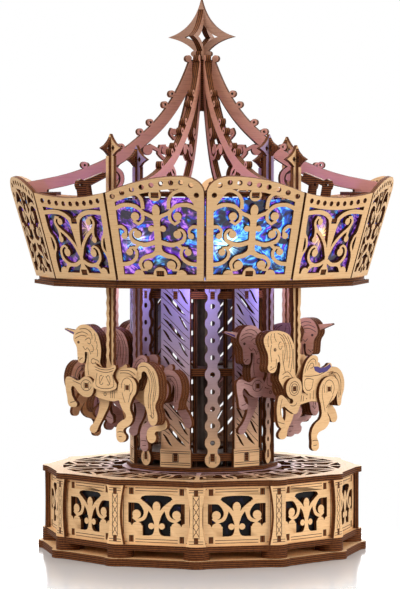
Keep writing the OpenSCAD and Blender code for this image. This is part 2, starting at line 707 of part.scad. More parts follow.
module low_scrolls() both() {
    polygon([[-3.6, axle_slot_v + 1], [3.6, axle_slot_v + 1], [2.4, 24], [1.1, 15], [1.3, 8], [3, 3],
        [-3, 3], [-1.3, 8], [-1.1, 15], [-2.4, 24]]);
    ribbon([[2, axle_slot_v], [6, 34.2], [12, 35.9], [22, 35.2]], 2.4, 2.2);
    ribbon([[0.6, 12.6], [3.2, 18.6], [7.6, 23.4], [12.6, 26.8],
        [14.6, 30.4], [13, 32.8], [10.8, 32.3]], 1.8, 1.6);
    ball([10.4, 30.5], 1.9);
    ribbon([[1, 9.6], [5, 7.4], [10.4, 7.8], [14.2, 11.4], [14, 16], [11, 17.9], [8.8, 16.3]], 2.1, 1.4);
    ball([9.6, 14.2], 2.3);
    ribbon([[12.4, 26.6], [12.2, 21.6]], 1.7, 1.5);
    ball([12.2, 21.2], 1.8);
    ribbon([[22, 25], [18, 22], [16.8, 17], [21.4, 10.6]], 1.6, 1.6);
    ribbon([[10.4, 8], [13, 4]], 1.8, 1.8);
}

module low_shape() difference() {
    union() {
        difference() {
            low_outline();
            low_window();
        }
        intersection() {
            low_outline();
            low_scrolls();
        }
    }
    tab_slot(axle_slot_v);
    tab_slot(block_slot_v);
}

module low_panels() color(ply) around(4, crank_angle) leaning() difference() {
    cut(sheet) low_shape();
    dots([for (i = [-4:4]) [5.1 * i, low_top(5.1 * i) - 3.2]]);
}

film_t = 0.4;
// Colour film behind a panel, up to the length top, with a notch for the tab at the length v
module film(top, v) leaning() translate([0, 0, -film_t]) cut(film_t) difference() {
    polygon([[1 - panel_u(1), 1.2], [panel_u(1) - 1, 1.2],
        [panel_u(top) - 1, top], [1 - panel_u(top), top]]);
    for (s = [block_slot_v, v]) translate([-tab_w / 2 - 0.2, s - 3.4]) square([tab_w + 0.4, 6.8]);
}

module colour_films() color("mediumslateblue", 0.5) {
    around(4, canopy_angle) for (s = [-1, 1]) rotate(s * half_side) film(crest_slot_v - 3, -20);
    around(4, crank_angle) film(low_top(0) - 4.6, axle_slot_v);
}

// Block on the canopy floor behind the foot of a panel, its tab in the panel's slot
module panel_blocks() color(dark_ply) around(sides, canopy_angle + half_side) {
    radial(tab_w - 2 * tab_play) polygon([[panel_in_a(canopy_top_z) - 5, canopy_top_z],
        [panel_in_a(canopy_top_z) - 0.1, canopy_top_z],
        [panel_in_a(canopy_top_z + 6) - 0.1, canopy_top_z + 6],
        [panel_in_a(canopy_top_z) - 5, canopy_top_z + 6]]);
    z = canopy_top_z + 3.6 - sheet / 2 + sheet * sin(lean) / 2;
    translate([panel_in_a(z) - 3, tab_play - tab_w / 2, z]) cube([5, tab_w - 2 * tab_play, sheet]);
}

// Point at the corner of the canopy's inside, r in from the panels, at the height z
function corner_at(z, r, a) = polar(panel_in_a(z) / cos(half_side) - r, a);

module crest_shelves() color(dark_ply) around(4, canopy_angle) translate([0, 0, crest_shelf_z])
    cut(sheet) union() {
        polygon([corner_at(crest_shelf_z, 1.2, -27), corner_at(crest_shelf_z, 0.1, 0),
            corner_at(crest_shelf_z, 1.2, 27), corner_at(crest_shelf_z, 13, 27),
            corner_at(crest_shelf_z, 13, 0), corner_at(crest_shelf_z, 13, -27)]);
        for (s = [-1, 1]) rotate(s * half_side)
            translate([panel_in_a(crest_shelf_z) - 6, tab_play - tab_w / 2])
            square([6 + sheet + 0.2, tab_w - 2 * tab_play]);
    }

bearing_half = 5;
bearing_space = 11;
outer_bearing_x = outer_pole_r + bearing_space;
bearing_t = 2.5;
eye_z = 193;
eye_x = 89;
module axle_shelves() color(dark_ply) around(4, crank_angle) {
    a = panel_in_a(axle_shelf_z);
    difference() {
        union() {
            translate([a - 16, -8, axle_shelf_z]) cube([16 - film_t - 0.2, 16, sheet]);
            translate([a - 5, tab_play - tab_w / 2, axle_shelf_z])
                cube([5 + sheet + 0.2, tab_w - 2 * tab_play, sheet]);
            translate([outer_bearing_x, -bearing_half, crank_z - bearing_half])
                cube([bearing_t, 2 * bearing_half, axle_shelf_z + sheet - crank_z + bearing_half]);
        }
        translate([0, 0, crank_z])
            rod(crank_r + run_fit, outer_bearing_x - 1, outer_bearing_x + bearing_t + 1);
    }
    radial(sheet) difference() {
        union() {
            polygon([[a - 9, axle_shelf_z + sheet], [a - 3, axle_shelf_z + sheet],
                [eye_x + 1.6, eye_z - 2], [eye_x - 3, eye_z]]);
            ball([eye_x, eye_z], 3.1);
            ribbon([[eye_x - 1, eye_z + 0.4], [outer_pole_r + 6, eye_z + 5.4]], 3, 2.2);
        }
        ball([eye_x, eye_z], 1.1);
    }
}

module crank_bearings() color(dark_ply) around(4, crank_angle)
    for (x = [inner_pole_r - bearing_space - 6, outer_pole_r - bearing_space]) difference() {
        translate([x, -bearing_half, canopy_top_z])
            cube([bearing_t, 2 * bearing_half, crank_z + bearing_half - canopy_top_z]);
        translate([0, 0, crank_z]) rod(crank_r + run_fit, x - 1, x + bearing_t + 1);
    }

ring_in = canopy_r - 16.4;
ring_w = 3.8;
module light_ring() color("white") translate([0, 0, canopy_top_z]) {
    difference() {
        cylinder(r = ring_in + ring_w, h = 1.2, $fn = 96);
        translate([0, 0, -1]) cylinder(r = ring_in, h = 4, $fn = 96);
    }
    around(sides, canopy_angle + half_side) translate([ring_in + ring_w / 2, 0, 1.2])
        cylinder(r = 1.5, h = 2.4, $fn = 24);
}

box_size = [17, 26, 8];
switch_travel = 3;
module battery_box() color("ivory") rotate(canopy_angle + 180)
    translate([53, -box_size[1] / 2, canopy_top_z]) difference() {
        cube(box_size);
        translate([6, 7, box_size[2] - 1.2]) cube([4, 4 + switch_travel + 2 * gap, 3]);
    }

module light_switch() color("dimgray") rotate(canopy_angle + 180)
    translate([59 + gap, 7 + gap - box_size[1] / 2, canopy_top_z + box_size[2] - 1.2])
    cube([4 - 2 * gap, 4, 2.6]);

// Roof

roof_line = [[97, 194.5], [80, 197.6], [65.5, 201.8], [50, 208.5], [40, 215], [28.4, 224.7], [20, 234.3],
    [12.6, 246.3], [7.4, 258.5]];
roof_curve = smooth(roof_line, 2);
knob_steps = [4, 6, 7, 9, 10, 12, 13];
function knob(i) = beside(roof_curve, i, -1.6);

// Distance out to which a rib may reach at the height z, inside the crest panel
function rib_end(z) = let (a = rib_turn - half_side)
    (panel_in_a(z) - plate / 2 * sin(a) - tab_play) / cos(a);

module rib_shape() difference() {
    union() {
        polygon(concat(roof_curve,
            [for (i = [len(roof_curve) - 1:-1:0]) beside(roof_curve, i, rib_w)]));
        translate([88, crest_shelf_z + sheet]) square([8, 194 - crest_shelf_z - sheet]);
        for (i = knob_steps) translate(knob(i)) circle(1.9, $fn = 8);
        ribbon([[4, 252], [9, 232], [13.4, 216], [19, 203], [24.4, 195.6]], 3.4, 2.8);
        ribbon([[12.4, 219], [16, 217.4], [18.4, 220], [17.2, 222.8]], 1.8, 1.3);
        ball([16, 221], 1.7);
        ribbon([[16.6, 208], [21.6, 206.4], [24.8, 209.6], [23.6, 213.6], [20.8, 213.6]], 2, 1.4);
        ball([21, 211.2], 2.3);
        ribbon([[24.4, 211], [30, 213.8]], 1.6, 1.8);
        ball([31, 211.4], 2.8);
        ribbon([[56, 200.4], [50, 202.4], [45.6, 199.4], [45, 194.6], [48, 190.6]], 2.6, 1.6);
        ball([49.2, 197], 2);
        ribbon([[49.2, 197], [52.4, 200.6]], 1.6, 2);
        ball([8, 259.6], 1.9);
    }
    translate([-50, 150]) square([50 + hub_r + run_fit, 150]);
    polygon([[rib_end(180), 180], [rib_end(220), 220], [150, 220], [150, 180]]);
}

module roof_ribs() color(ply) around(4, canopy_angle) for (s = [-1, 1]) rotate(s * rib_turn) difference() {
    radial(plate) rib_shape();
    for (i = knob_steps) translate([knob(i)[0], plate / 2 + 1, knob(i)[1]]) rotate([90, 0, 0])
        cylinder(r = 0.7, h = plate + 2, $fn = 16);
}

hub_top = 259;
module roof_hub() color(dark_ply) translate([0, 0, 232]) cylinder(r = hub_r, h = hub_top - 232, $fn = 48);

// Concave curve from a to b, drawn in towards the middle by the share k
function dip(a, b, k, n) = [for (i = [0:n - 1]) let (t = i / n)
    (1 - t) * (1 - t) * a + 2 * t * (1 - t) * (a + b) * k + t * t * b];
// Four-pointed star, w wide each way, up high above its middle and down below it, n steps to a side
function star(w, up, down, k, n) = concat(dip([0, up], [-w, 0], k, n), dip([-w, 0], [0, -down], k, n),
    dip([0, -down], [w, 0], k, n), dip([w, 0], [0, up], k, n));

// Outline of the star, drawn in by less all round
module roof_star_shape(less) difference() {
    union() {
        polygon(star(star_w - less, star_w + 1.4 - less, 14 - less, 0.2, 7));
        translate([-4.4, hub_top - star_z]) square([8.8, 3.6]);
        both() ball([4.2, hub_top - star_z + 3.2], 1.6);
    }
    polygon(star(star_w * 0.5 + less, star_w * 0.54 + less, star_w * 0.42 + less, 0.24, 5));
    translate([-20, -40]) square([40, 40 + hub_top - star_z]);
}

module roof_star() color(ply) translate([0, 0, star_z]) rotate(canopy_angle + 90 - rib_turn) {
    radial(plate) roof_star_shape(0);
    for (s = [-1, 1]) rotate(s * 90) radial(plate) intersection() {
        roof_star_shape(0.5);
        translate([plate / 2, -50]) square([50, 100]);
    }
}

// Riders: cranks, poles and horses

// Side of the crank that the outer pin of crank k is on
function outer_up(k) = k % 2 == 0 ? 1 : -1;

module crankshaft(k) color(steel) rotate(crank_angle + 90 * (k - 1)) translate([0, 0, crank_z]) {
    ends = [20, inner_pole_r - pin_half, inner_pole_r + pin_half, outer_pole_r - pin_half,
        outer_pole_r + pin_half, outer_bearing_x + bearing_t + 1.4];
    for (i = [0, 2, 4]) rod(crank_r, ends[i] + (i > 0 ? web_t : 0), ends[i + 1] - (i < 4 ? web_t : 0));
    for (x = [ends[1] - web_t, ends[2], ends[3] - web_t, ends[4]]) rod(web_r, x, x + web_t);
    translate([0, 0, -outer_up(k) * crank_throw]) rod(crank_r, ends[1], ends[2]);
    translate([0, 0, outer_up(k) * crank_throw]) rod(crank_r, ends[3], ends[4]);
    translate([crown_r - plate / 2, 0, 0]) upright() difference() {
        cut(plate) rotate(-90 + 180 / crank_teeth)
            peg_gear(crank_teeth, crank_gear_r, tooth_w, 1.1, 1.8);
        translate([0, 0, -1]) cylinder(r = crank_r, h = plate + 2, $fn = 32);
    }
}

tongue_v = 33;
fin_v = 38.4;
wave_pitch = 5.4;
wave_top = canopy_z - 6;
// Half width of a pole at the height z: waved below the canopy, straight inside it
function pole_half(z) = pole_w / 2 - (z < wave_top ? 0.3 * (1 - cos(360 * (z - wave_top) / wave_pitch)) : 0);
function pole_edge(z0) = [for (i = [floor((wave_top - z0) * 2 / wave_pitch):-1:0])
    let (z = wave_top - i * wave_pitch / 2) [pole_half(z), z]];

module finial() translate([0, finial_z]) difference() {
    polygon(star(7.6, 7.3, 7.3, 0.28, 3));
    polygon([[1.2, 0], [2.4, 1.6], [3.6, 0], [2.4, -1.6]]);
    polygon([[-1.2, 0], [-2.4, 1.6], [-3.6, 0], [-2.4, -1.6]]);
}

// Edge-on half of the cross strip, from z0 up to z1
module fin(z0, z1) difference() {
    if (z0 < wave_top)
        polygon(concat([[sheet / 2, z0]], pole_edge(z0), [[pole_w / 2, z1], [sheet / 2, z1]]));
    else union() {
        translate([sheet / 2, z0]) square([(pole_w - sheet) / 2, z1 - z0]);
        finial();
    }
    translate([-20, 0]) square([20 + sheet / 2, 400]);
}

module pole(k, r, up) color(ply) rotate(crank_angle + 90 * (k - 1)) translate([r, 0, up * crank_throw]) {
    foot = hoof_z + tongue_v + 0.1;
    translate([-sheet / 2, 0, 0]) difference() {
        upright() cut(sheet) union() {
            both() polygon(concat([[-0.1, foot]], pole_edge(foot),
                [[pole_w / 2, finial_z - 4], [-0.1, finial_z - 4]]));
            finial();
            ball([0, crank_z], 4.4);
        }
        translate([0, 0, crank_z]) rod(crank_r + run_fit, -1, sheet + 1);
    }
    for (s = [0, 180]) rotate(s) {
        radial(sheet) fin(hoof_z + fin_v, crank_z - 6);
        radial(sheet) fin(crank_z + 6, finial_z - 4);
    }
}

// Flat shape standing across the radius, from x0 to x1
module across(x0, x1) translate([x0, 0, 0]) upright() cut(x1 - x0) children();

unicorn_body = [[-24.6, 54.4], [-25.3, 51], [-22.8, 47], [-22.2, 42.9], [-21.6, 39.8], [-19.2, 38.8],
    [-17, 39.8], [-15.8, 45], [-15.4, 40.4], [-16.6, 36.7], [-16.2, 31.6], [-13.4, 26], [-9, 22.4],
    [-4.1, 21.1], [8.8, 21.1], [14, 25], [21.6, 27.4], [23, 33], [21, 37.2], [16, 38], [10, 36.9],
    [0, 36.6], [-5, 38.8], [-4.8, 42.9], [-4.6, 46.6], [-5.4, 50.4], [-7.2, 54.1], [-10.2, 56.6],
    [-13.6, 58.5], [-17.9, 58.9], [-21.8, 57.6]];
unicorn_tail = [[22, 36.8], [22.8, 39.5], [25, 41], [28, 41.2], [31.8, 39.8], [35.5, 36.4], [37.2, 31],
    [37, 24], [34.8, 19.3], [36.2, 15], [36, 11.4], [33, 9.4], [30.2, 11.4], [29, 15.6], [27, 20.5],
    [27.2, 27.4], [29.4, 33], [27.8, 36.4], [25.4, 36.2], [24.6, 33.2], [22, 32]];
unicorn_foreleg = [[-15, 32], [-19.5, 29.8], [-25, 31.4], [-28.6, 31], [-29.2, 27], [-27.9, 21],
    [-26.6, 16.6], [-23.5, 15.9], [-20.4, 17.2], [-22.6, 19.8], [-24.3, 22.4], [-24, 26.8],
    [-22.2, 26.2], [-19, 23.4],
    [-13.5, 21.6], [-9.3, 23], [-8.2, 28], [-10.4, 31.4]];
unicorn_far_foreleg = [[-13.6, 32.6], [-17.8, 31], [-18.8, 27.6], [-17, 24], [-12.6, 20.4], [-12.4, 15],
    [-16, 8], [-19.4, 4.4], [-18.2, 2.6], [-14.6, 3], [-12.6, 6], [-8.4, 12], [-4.8, 18.6], [-5, 22.6],
    [-8.2, 26], [-9, 30.6]];
unicorn_hind = [[16.6, 33.6], [11.8, 32], [9.9, 28], [10.4, 22], [13, 16.8], [15.8, 13.2], [12, 10.6],
    [9.2, 8.2], [8.6, 4.6], [9.8, 0.4], [14, 0.3], [15.9, 2.8], [13.8, 5.8], [18.4, 9], [20.6, 12.4],
    [18.6, 17.6], [20.2, 22.4], [23.2, 26.6], [22.4, 31.6]];
unicorn_far_hind = [[17, 33.4], [12, 31], [11, 26.4], [14.6, 22], [21, 18.4], [26.6, 13.4], [32, 9.8],
    [28.4, 8.6], [24.2, 7.2], [22.6, 3.8], [24, 0.4], [28, 0.3], [29.4, 3], [28.4, 4.9], [33, 6.4],
    [37.2, 8.6], [36.2, 12.2], [31, 15.6], [25.6, 20.8], [23.6, 26], [22.4, 31.4]];
unicorn_saddle = [[-8.2, 38.8], [-4, 37.6], [0.2, 37.2], [4.4, 37.6], [8.2, 38.8], [6.2, 33.6], [9, 28],
    [5.4, 26], [0.2, 25.4], [-4.8, 25.8], [-8.4, 27.6], [-6.2, 33.6]];
pony_body = [[-24.6, 61.6], [-27.2, 58.8], [-26.2, 54.7], [-24.2, 51], [-23.8, 46.6], [-24.2, 43.2],
    [-21.4, 41.3], [-18.4, 42.2], [-15.8, 46.8], [-15.2, 42], [-16, 38.4], [-13.2, 34], [-9.8, 27.6],
    [-4.6, 23.6], [3, 24.4], [9.2, 25.2], [18, 24.4], [25.6, 27.6], [28.4, 34.2], [26.4, 39.8],
    [22.6, 39.6], [16, 37.6], [8, 36.8], [0, 36.6], [-3.6, 40], [-3.8, 46.6], [-3.8, 50.4], [-4.4, 54],
    [-5.8, 57.4], [-8, 60], [-12, 61.8], [-19.6, 62.7]];
pony_tail = [[22.6, 40.4], [26.5, 42.2], [31, 40.8], [34.2, 36.6], [34.7, 31], [33, 26.4], [30.8, 21.6],
    [29, 25.4], [29.8, 30], [29.4, 34], [27, 36.2], [24, 36]];
pony_foreleg = [[-6.4, 38.2], [-11, 36.6], [-12.6, 32.6], [-10.4, 28.4], [-7.2, 26.6], [-8.4, 25],
    [-13, 28.2], [-17.2, 29.8], [-19.2, 26], [-19.3, 18.4], [-17.2, 13.4], [-13.6, 12.8], [-13.2, 15.4],
    [-15.6, 18.8], [-15.4, 23.6], [-10, 21.4], [-5.2, 19.6], [-2.8, 22], [-1, 29], [-0.6, 33.6],
    [-2.4, 37]];
pony_far_foreleg = [[-6.4, 38.2], [-11, 36.6], [-12.6, 32.6], [-9.6, 28], [-5.4, 23.6], [-4, 18.6],
    [-7, 12], [-9.6, 8.4], [-8, 6.4], [-3.8, 7], [-2.6, 10.6], [1.4, 17], [2.4, 23.4], [0.2, 29],
    [-0.6, 33.6], [-2.4, 37]];
pony_hind = [[20.6, 37.6], [15, 35], [12.6, 29], [14.4, 22], [14.4, 17], [9, 13], [6.9, 9.4], [7, 4.6],
    [7.6, 0.4], [12, 0.3], [12.6, 3.4], [11.2, 7.4], [18.6, 11.2], [21, 14.8], [19.2, 18.8],
    [19.8, 22.4], [25, 26.4], [27.6, 31], [26, 36]];
pony_far_hind = [[20.6, 37.6], [15, 35], [12.8, 29.6], [16, 25.4], [22.4, 23.6], [27, 19.4], [30.2, 15.6],
    [32, 12.8], [35.6, 13.4], [35.4, 17.6], [31.6, 22.4], [28.8, 27.6], [27.6, 32], [26, 36]];
pony_saddle = [[0.4, 40.4], [1.6, 44], [4.4, 47.6], [8.4, 49.2], [11.8, 47.6], [11.8, 44.4], [14, 42.6],
    [17.8, 43], [21.4, 44.6], [22.6, 42.4], [19, 39.6], [12.4, 37.2], [9, 34.2], [8.4, 31], [4.8, 29.6],
    [1, 31], [0, 35]];

peg_w = 2.4;
// Plate of a leg, with the slot for the peg at c
module leg(shape, c) difference() {
    polygon(shape);
    translate([c[0] - peg_w / 2 - tab_play, c[1] - peg_w / 2 - tab_play]) square(peg_w + 2 * tab_play);
}

// Horse of flat layers, heading along -Y: the core, two sides, the legs and the saddle plates
module horse(body, tail, near, far, saddle, pegs) {
    difference() {
        across(-1.5 * sheet, 1.5 * sheet) {
            polygon(loop(body, 2));
            polygon(tail);
        }
        translate([-sheet / 2 - 0.02, -pole_w / 2 - tab_play, tongue_v])
            cube([sheet + 0.04, pole_w + 2 * tab_play, 60]);
    }
    for (i = [0, 1]) {
        across(1.5 * sheet, 2.5 * sheet) leg(near[i], pegs[i]);
        across(-2.5 * sheet, -1.5 * sheet) leg(far[i], pegs[i]);
        across(-2.5 * sheet + 0.3, 2.5 * sheet - 0.3) translate(pegs[i]) square(peg_w, center = true);
    }
    for (x = [-2.5 * sheet, 1.5 * sheet]) across(x, x + sheet) polygon(saddle);
}

module unicorn() {
    horse(unicorn_body, unicorn_tail, [unicorn_foreleg, unicorn_hind],
        [unicorn_far_foreleg, unicorn_far_hind], unicorn_saddle, [[-13.4, 27.6], [16.6, 28]]);
    across(-sheet / 2, sheet / 2) polygon([[-22, 55.2], [-24.2, 52], [-34, 55.6], [-33.8, 56.4]]);
}

module pony() horse(pony_body, pony_tail, [pony_foreleg, pony_hind], [pony_far_foreleg, pony_far_hind],
    pony_saddle, [[-6.2, 32.6], [20.6, 31]]);

// Horse on the pole of crank k at the distance r; up is 1 on a raised crank pin and -1 on a lowered one
module rider(k, r, up) color(ply) rotate(crank_angle + 90 * (k - 1))
    translate([r, 0, hoof_z + up * crank_throw]) {
        if (up > 0) unicorn();
        if (up < 0) pony();
    }

foot_plates();
plinth_spacers();
base_floor();
base_panels();
base_ribs();
base_pilasters();
deck_plate();
centre_mast();
mast_foot();
crown_gear();
movement_bedplate();
movement_comb();
movement_brackets();
movement_screws();
spring_barrel();
drive_pinion();
music_cylinder();
governor_fly();
winding_key();
drive_gear();
drum_bush();
drum_frame();
chain_columns();
twist_columns();
canopy_rim();
canopy_floor();
crest_panels();
low_panels();
colour_films();
crest_shelves();
axle_shelves();
crank_bearings();
roof_ribs();
roof_hub();
roof_star();
panel_blocks();
light_ring();
battery_box();
light_switch();
crankshaft(1);  // crankshaft_1
crankshaft(2);  // crankshaft_2
crankshaft(3);  // crankshaft_3
crankshaft(4);  // crankshaft_4
pole(1, outer_pole_r, outer_up(1));  // outer_pole_1
pole(2, outer_pole_r, outer_up(2));  // outer_pole_2
pole(3, outer_pole_r, outer_up(3));  // outer_pole_3
pole(4, outer_pole_r, outer_up(4));  // outer_pole_4
pole(1, inner_pole_r, -outer_up(1));  // inner_pole_1
pole(2, inner_pole_r, -outer_up(2));  // inner_pole_2
pole(3, inner_pole_r, -outer_up(3));  // inner_pole_3
pole(4, inner_pole_r, -outer_up(4));  // inner_pole_4
rider(1, outer_pole_r, outer_up(1));  // outer_horse_1
rider(2, outer_pole_r, outer_up(2));  // outer_horse_2
rider(3, outer_pole_r, outer_up(3));  // outer_horse_3
rider(4, outer_pole_r, outer_up(4));  // outer_horse_4
rider(1, inner_pole_r, -outer_up(1));  // inner_horse_1
rider(2, inner_pole_r, -outer_up(2));  // inner_horse_2
rider(3, inner_pole_r, -outer_up(3));  // inner_horse_3
rider(4, inner_pole_r, -outer_up(4));  // inner_horse_4
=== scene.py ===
import contextlib
import json
import math

import bpy
import numpy as np
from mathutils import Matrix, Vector

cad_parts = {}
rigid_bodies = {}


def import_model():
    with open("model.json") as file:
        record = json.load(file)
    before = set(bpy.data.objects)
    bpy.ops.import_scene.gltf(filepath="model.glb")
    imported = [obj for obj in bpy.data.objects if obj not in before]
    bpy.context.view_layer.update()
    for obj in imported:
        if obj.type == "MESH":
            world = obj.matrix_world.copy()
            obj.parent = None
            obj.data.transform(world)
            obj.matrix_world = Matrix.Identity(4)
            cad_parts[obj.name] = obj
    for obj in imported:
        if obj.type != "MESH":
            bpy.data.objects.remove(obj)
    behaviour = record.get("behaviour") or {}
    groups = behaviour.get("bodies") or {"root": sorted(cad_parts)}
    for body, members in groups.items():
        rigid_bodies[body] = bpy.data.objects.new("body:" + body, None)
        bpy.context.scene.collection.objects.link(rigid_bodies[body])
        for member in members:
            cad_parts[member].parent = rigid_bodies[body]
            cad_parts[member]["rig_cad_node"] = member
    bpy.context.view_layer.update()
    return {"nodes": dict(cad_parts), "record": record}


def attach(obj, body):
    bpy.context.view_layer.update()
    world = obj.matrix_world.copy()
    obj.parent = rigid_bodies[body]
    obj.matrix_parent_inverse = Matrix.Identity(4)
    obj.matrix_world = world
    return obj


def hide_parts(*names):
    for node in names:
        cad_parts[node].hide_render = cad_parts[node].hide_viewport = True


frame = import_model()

bl_info = {
    "name": "Carousel music box",
    "version": (1, 0, 0),
    "blender": (4, 5, 0),
    "location": "3D View > Sidebar > Carousel",
    "description": "Plywood finish, engraved lines, lights and stage for a carousel music box",
    "category": "Object",
}

MM = 0.001
PLATE = 3 * MM
VENEER = 1 * MM
MERGE = 0.004 * MM
FLAT_ANGLE, SMOOTH_ANGLE = math.radians(0.6), math.radians(32)
BODIES = frame["record"]["behaviour"]["bodies"]
BODY_OF = {node: body for body, nodes in BODIES.items() for node in nodes}

# Places in the frame, in mm and degrees: faces are measured out from the mast, feet up from the
# table, and turns about the mast to the first of the pieces
PANEL_FACE, PANEL_BACK, PANEL_FOOT = 78.5, 76.1, 11
PILASTER_FACE = 83.27
COLUMN_FACE, COLUMN_FOOT, COLUMN_PEG = 37.5, 46.3, 92.7
HORSE_PLACES = {"outer": 67, "inner": 48}
HORSE_FOOT, THROW = 59, 2.9
LAYER, HALF_LAYER, HALF_BODY, LEG_LAYER, HALF_HORSE = 2, 0.97, 3, 3.03, 5
HALF_PEG, HALF_SLOT = 4.7, 1.25
CANOPY_LAMPS, DECK_LAMPS = (62, 153), (50, 138)
CANOPY_TURN, CRANK_TURN, DRUM_TURN, BASE_TURN = -87, -42, -79.5, -90
BASE_SIDES, DRUM_SIDES = 12, 6


def srgb(red, green, blue):
    """A colour given as 0 to 255 values, in the linear values that shaders use."""
    def linear(value):
        value /= 255
        return value / 12.92 if value <= 0.04045 else ((value + 0.055) / 1.055) ** 2.4
    return (linear(red), linear(green), linear(blue), 1.0)


# Settings

def colour_setting(name, description, colour, size=4):
    """A colour shown in the panel."""
    return bpy.props.FloatVectorProperty(
        name=name, description=description, size=size, subtype="COLOR", min=0, max=1,
        default=colour[:size])


class PlywoodSettings(bpy.types.PropertyGroup):
    face_light: colour_setting(
        "Face, light grain", "Colour of the light grain of a plywood face", srgb(240, 196, 144))
    face_dark: colour_setting(
        "Face, dark grain", "Colour of the dark grain of a plywood face", srgb(212, 160, 106))
    edge_dark: colour_setting(
        "Edge, burnt", "Colour of a cut edge where the laser has burnt it", srgb(46, 22, 10))
    edge_light: colour_setting(
        "Edge, core", "Colour of the lighter core layers in a cut edge", srgb(126, 72, 34))
    engraving: colour_setting("Engraving", "Colour of an engraved line", srgb(58, 30, 14))
    rounding: bpy.props.FloatProperty(
        name="Rounding", description="Share of each short side that the rounding of a curve takes",
        subtype="PERCENTAGE", min=10, max=48, default=36)
    line_width: bpy.props.FloatProperty(
        name="Line width", description="Width of an engraved line",
        unit="LENGTH", min=0.1 * MM, max=0.6 * MM, default=0.34 * MM)


class LightSettings(bpy.types.PropertyGroup):
    # Film glow: strength of the light painted on the films as emission
    film_glow: bpy.props.FloatProperty(
        name="Film glow", description="Brightness of the lit films",
        min=0, max=5, default=1.15)
    violet: colour_setting(
        "Violet light", "Colour of the lights in the canopy", srgb(120, 84, 255), 3)
    blue: colour_setting(
        "Blue light", "Colour of the lights over the deck", srgb(176, 168, 250), 3)
    violet_power: bpy.props.FloatProperty(
        name="Violet power", description="Power of each light in the canopy",
        unit="POWER", min=0, max=5, default=0.06)
    blue_power: bpy.props.FloatProperty(
        name="Blue power", description="Power of each light over the deck",
        unit="POWER", min=0, max=5, default=0.018)


class StageSettings(bpy.types.PropertyGroup):
    distance: bpy.props.FloatProperty(
        name="Camera distance", description="Distance from the camera to the mast",
        unit="LENGTH", min=0.5, max=4, default=1.48)
    azimuth: bpy.props.FloatProperty(
        name="Camera azimuth", description="Angle of the camera to the right of the front",
        subtype="ANGLE", min=-math.pi, max=math.pi, default=math.radians(2))
    camera_height: bpy.props.FloatProperty(
        name="Camera height", description="Height of the camera above the table",
        unit="LENGTH", min=0, max=1, default=0.1945)
    lens: bpy.props.FloatProperty(
        name="Lens", description="Focal length of the camera, in millimetres",
        min=20, max=400, default=170.5)
    aim_height: bpy.props.FloatProperty(
        name="Aim height", description="Height of the point that the camera looks at",
        unit="LENGTH", min=0, max=0.3, default=0.1348)
    ambient: bpy.props.FloatProperty(
        name="Ambient light", description="Strength of the even light from all round",
        min=0, max=2, default=0.4)
    key_power: bpy.props.FloatProperty(
        name="Key power", description="Power of the large soft light in front on the left",
        unit="POWER", min=0, max=100, default=11.5)


# Materials

def set_inputs(node, inputs):
    """Sets a shader node's inputs, each to a value or to another node's output."""
    for name, value in inputs.items():
        if isinstance(value, bpy.types.NodeSocket):
            node.id_data.links.new(value, node.inputs[name])
        else:
            node.inputs[name].default_value = value


def add_node(tree, kind, inputs=None, **settings):
    """A new shader node, laid out beside the others."""
    node = tree.nodes.new(kind)
    row, column = divmod(len(tree.nodes) - 1, 8)
    node.location = (240 * column, -300 * row)
    for name, value in settings.items():
        setattr(node, name, value)
    set_inputs(node, inputs or {})
    return node


def empty_material(name):
    """A material with one Principled shader, its node tree and that shader."""
    material = bpy.data.materials.new(name)
    material.use_nodes = True
    tree = material.node_tree
    tree.nodes.clear()
    shader = add_node(tree, "ShaderNodeBsdfPrincipled")
    add_node(tree, "ShaderNodeOutputMaterial", {"Surface": shader.outputs["BSDF"]})
    return material, tree, shader


def object_place(tree):
    """The place on the object."""
    return add_node(tree, "ShaderNodeTexCoord").outputs["Object"]


def sheet_place(tree):
    """The place on the sheet, along and across its grain."""
    return add_node(tree, "ShaderNodeUVMap", uv_map="sheet").outputs["UV"]


def attribute(tree, name, output):
    """A value or vector that the faces hold."""
    return add_node(tree, "ShaderNodeAttribute", attribute_name=name).outputs[output]


def mapped(tree, place, scale, move=(0, 0, 0)):
    """The place scaled and moved."""
    inputs = {"Vector": place, "Location": move, "Scale": scale}
    return add_node(tree, "ShaderNodeMapping", inputs).outputs["Vector"]


def noise(tree, place, scale, detail, **more):
    """Noise of the scale and detail at the place."""
    inputs = {"Vector": place, "Scale": scale, "Detail": detail, **more}
    return add_node(tree, "ShaderNodeTexNoise", inputs).outputs["Fac"]


def ramp(tree, value, stops):
    """The colour that value picks from the stops (position, colour)."""
    node = add_node(tree, "ShaderNodeValToRGB", {"Fac": value})
    elements = node.color_ramp.elements
    elements.remove(elements[-1])
    elements[0].position, elements[0].color = stops[0]
    for position, colour in stops[1:]:
        elements.new(position).color = colour
    return node.outputs["Color"]


def remap(tree, value, source, target, smooth="LINEAR"):
    """The value taken from the range source to the range target."""
    ends = zip(("From Min", "From Max", "To Min", "To Max"), source + target)
    node = add_node(
        tree, "ShaderNodeMapRange", {"Value": value, **dict(ends)}, interpolation_type=smooth)
    return node.outputs["Result"]


def compute(tree, operation, *values):
    """The result of a sum on the values."""
    return add_node(tree, "ShaderNodeMath", dict(enumerate(values)), operation=operation).outputs[0]


def vector(tree, operation, *values):
    """The result of a vector sum on the values."""
    node = add_node(tree, "ShaderNodeVectorMath", dict(enumerate(values)), operation=operation)
    return node.outputs["Value" if operation == "LENGTH" else "Vector"]


def split(tree, value):
    """The three parts of a vector."""
    return add_node(tree, "ShaderNodeSeparateXYZ", {0: value}).outputs


def blend(tree, amount, first, second, kind="MIX"):
    """The first colour blended with the second by the amount."""
    inputs = {0: amount, 6: first, 7: second}
    return add_node(tree, "ShaderNodeMix", inputs, data_type="RGBA", blend_type=kind).outputs[2]


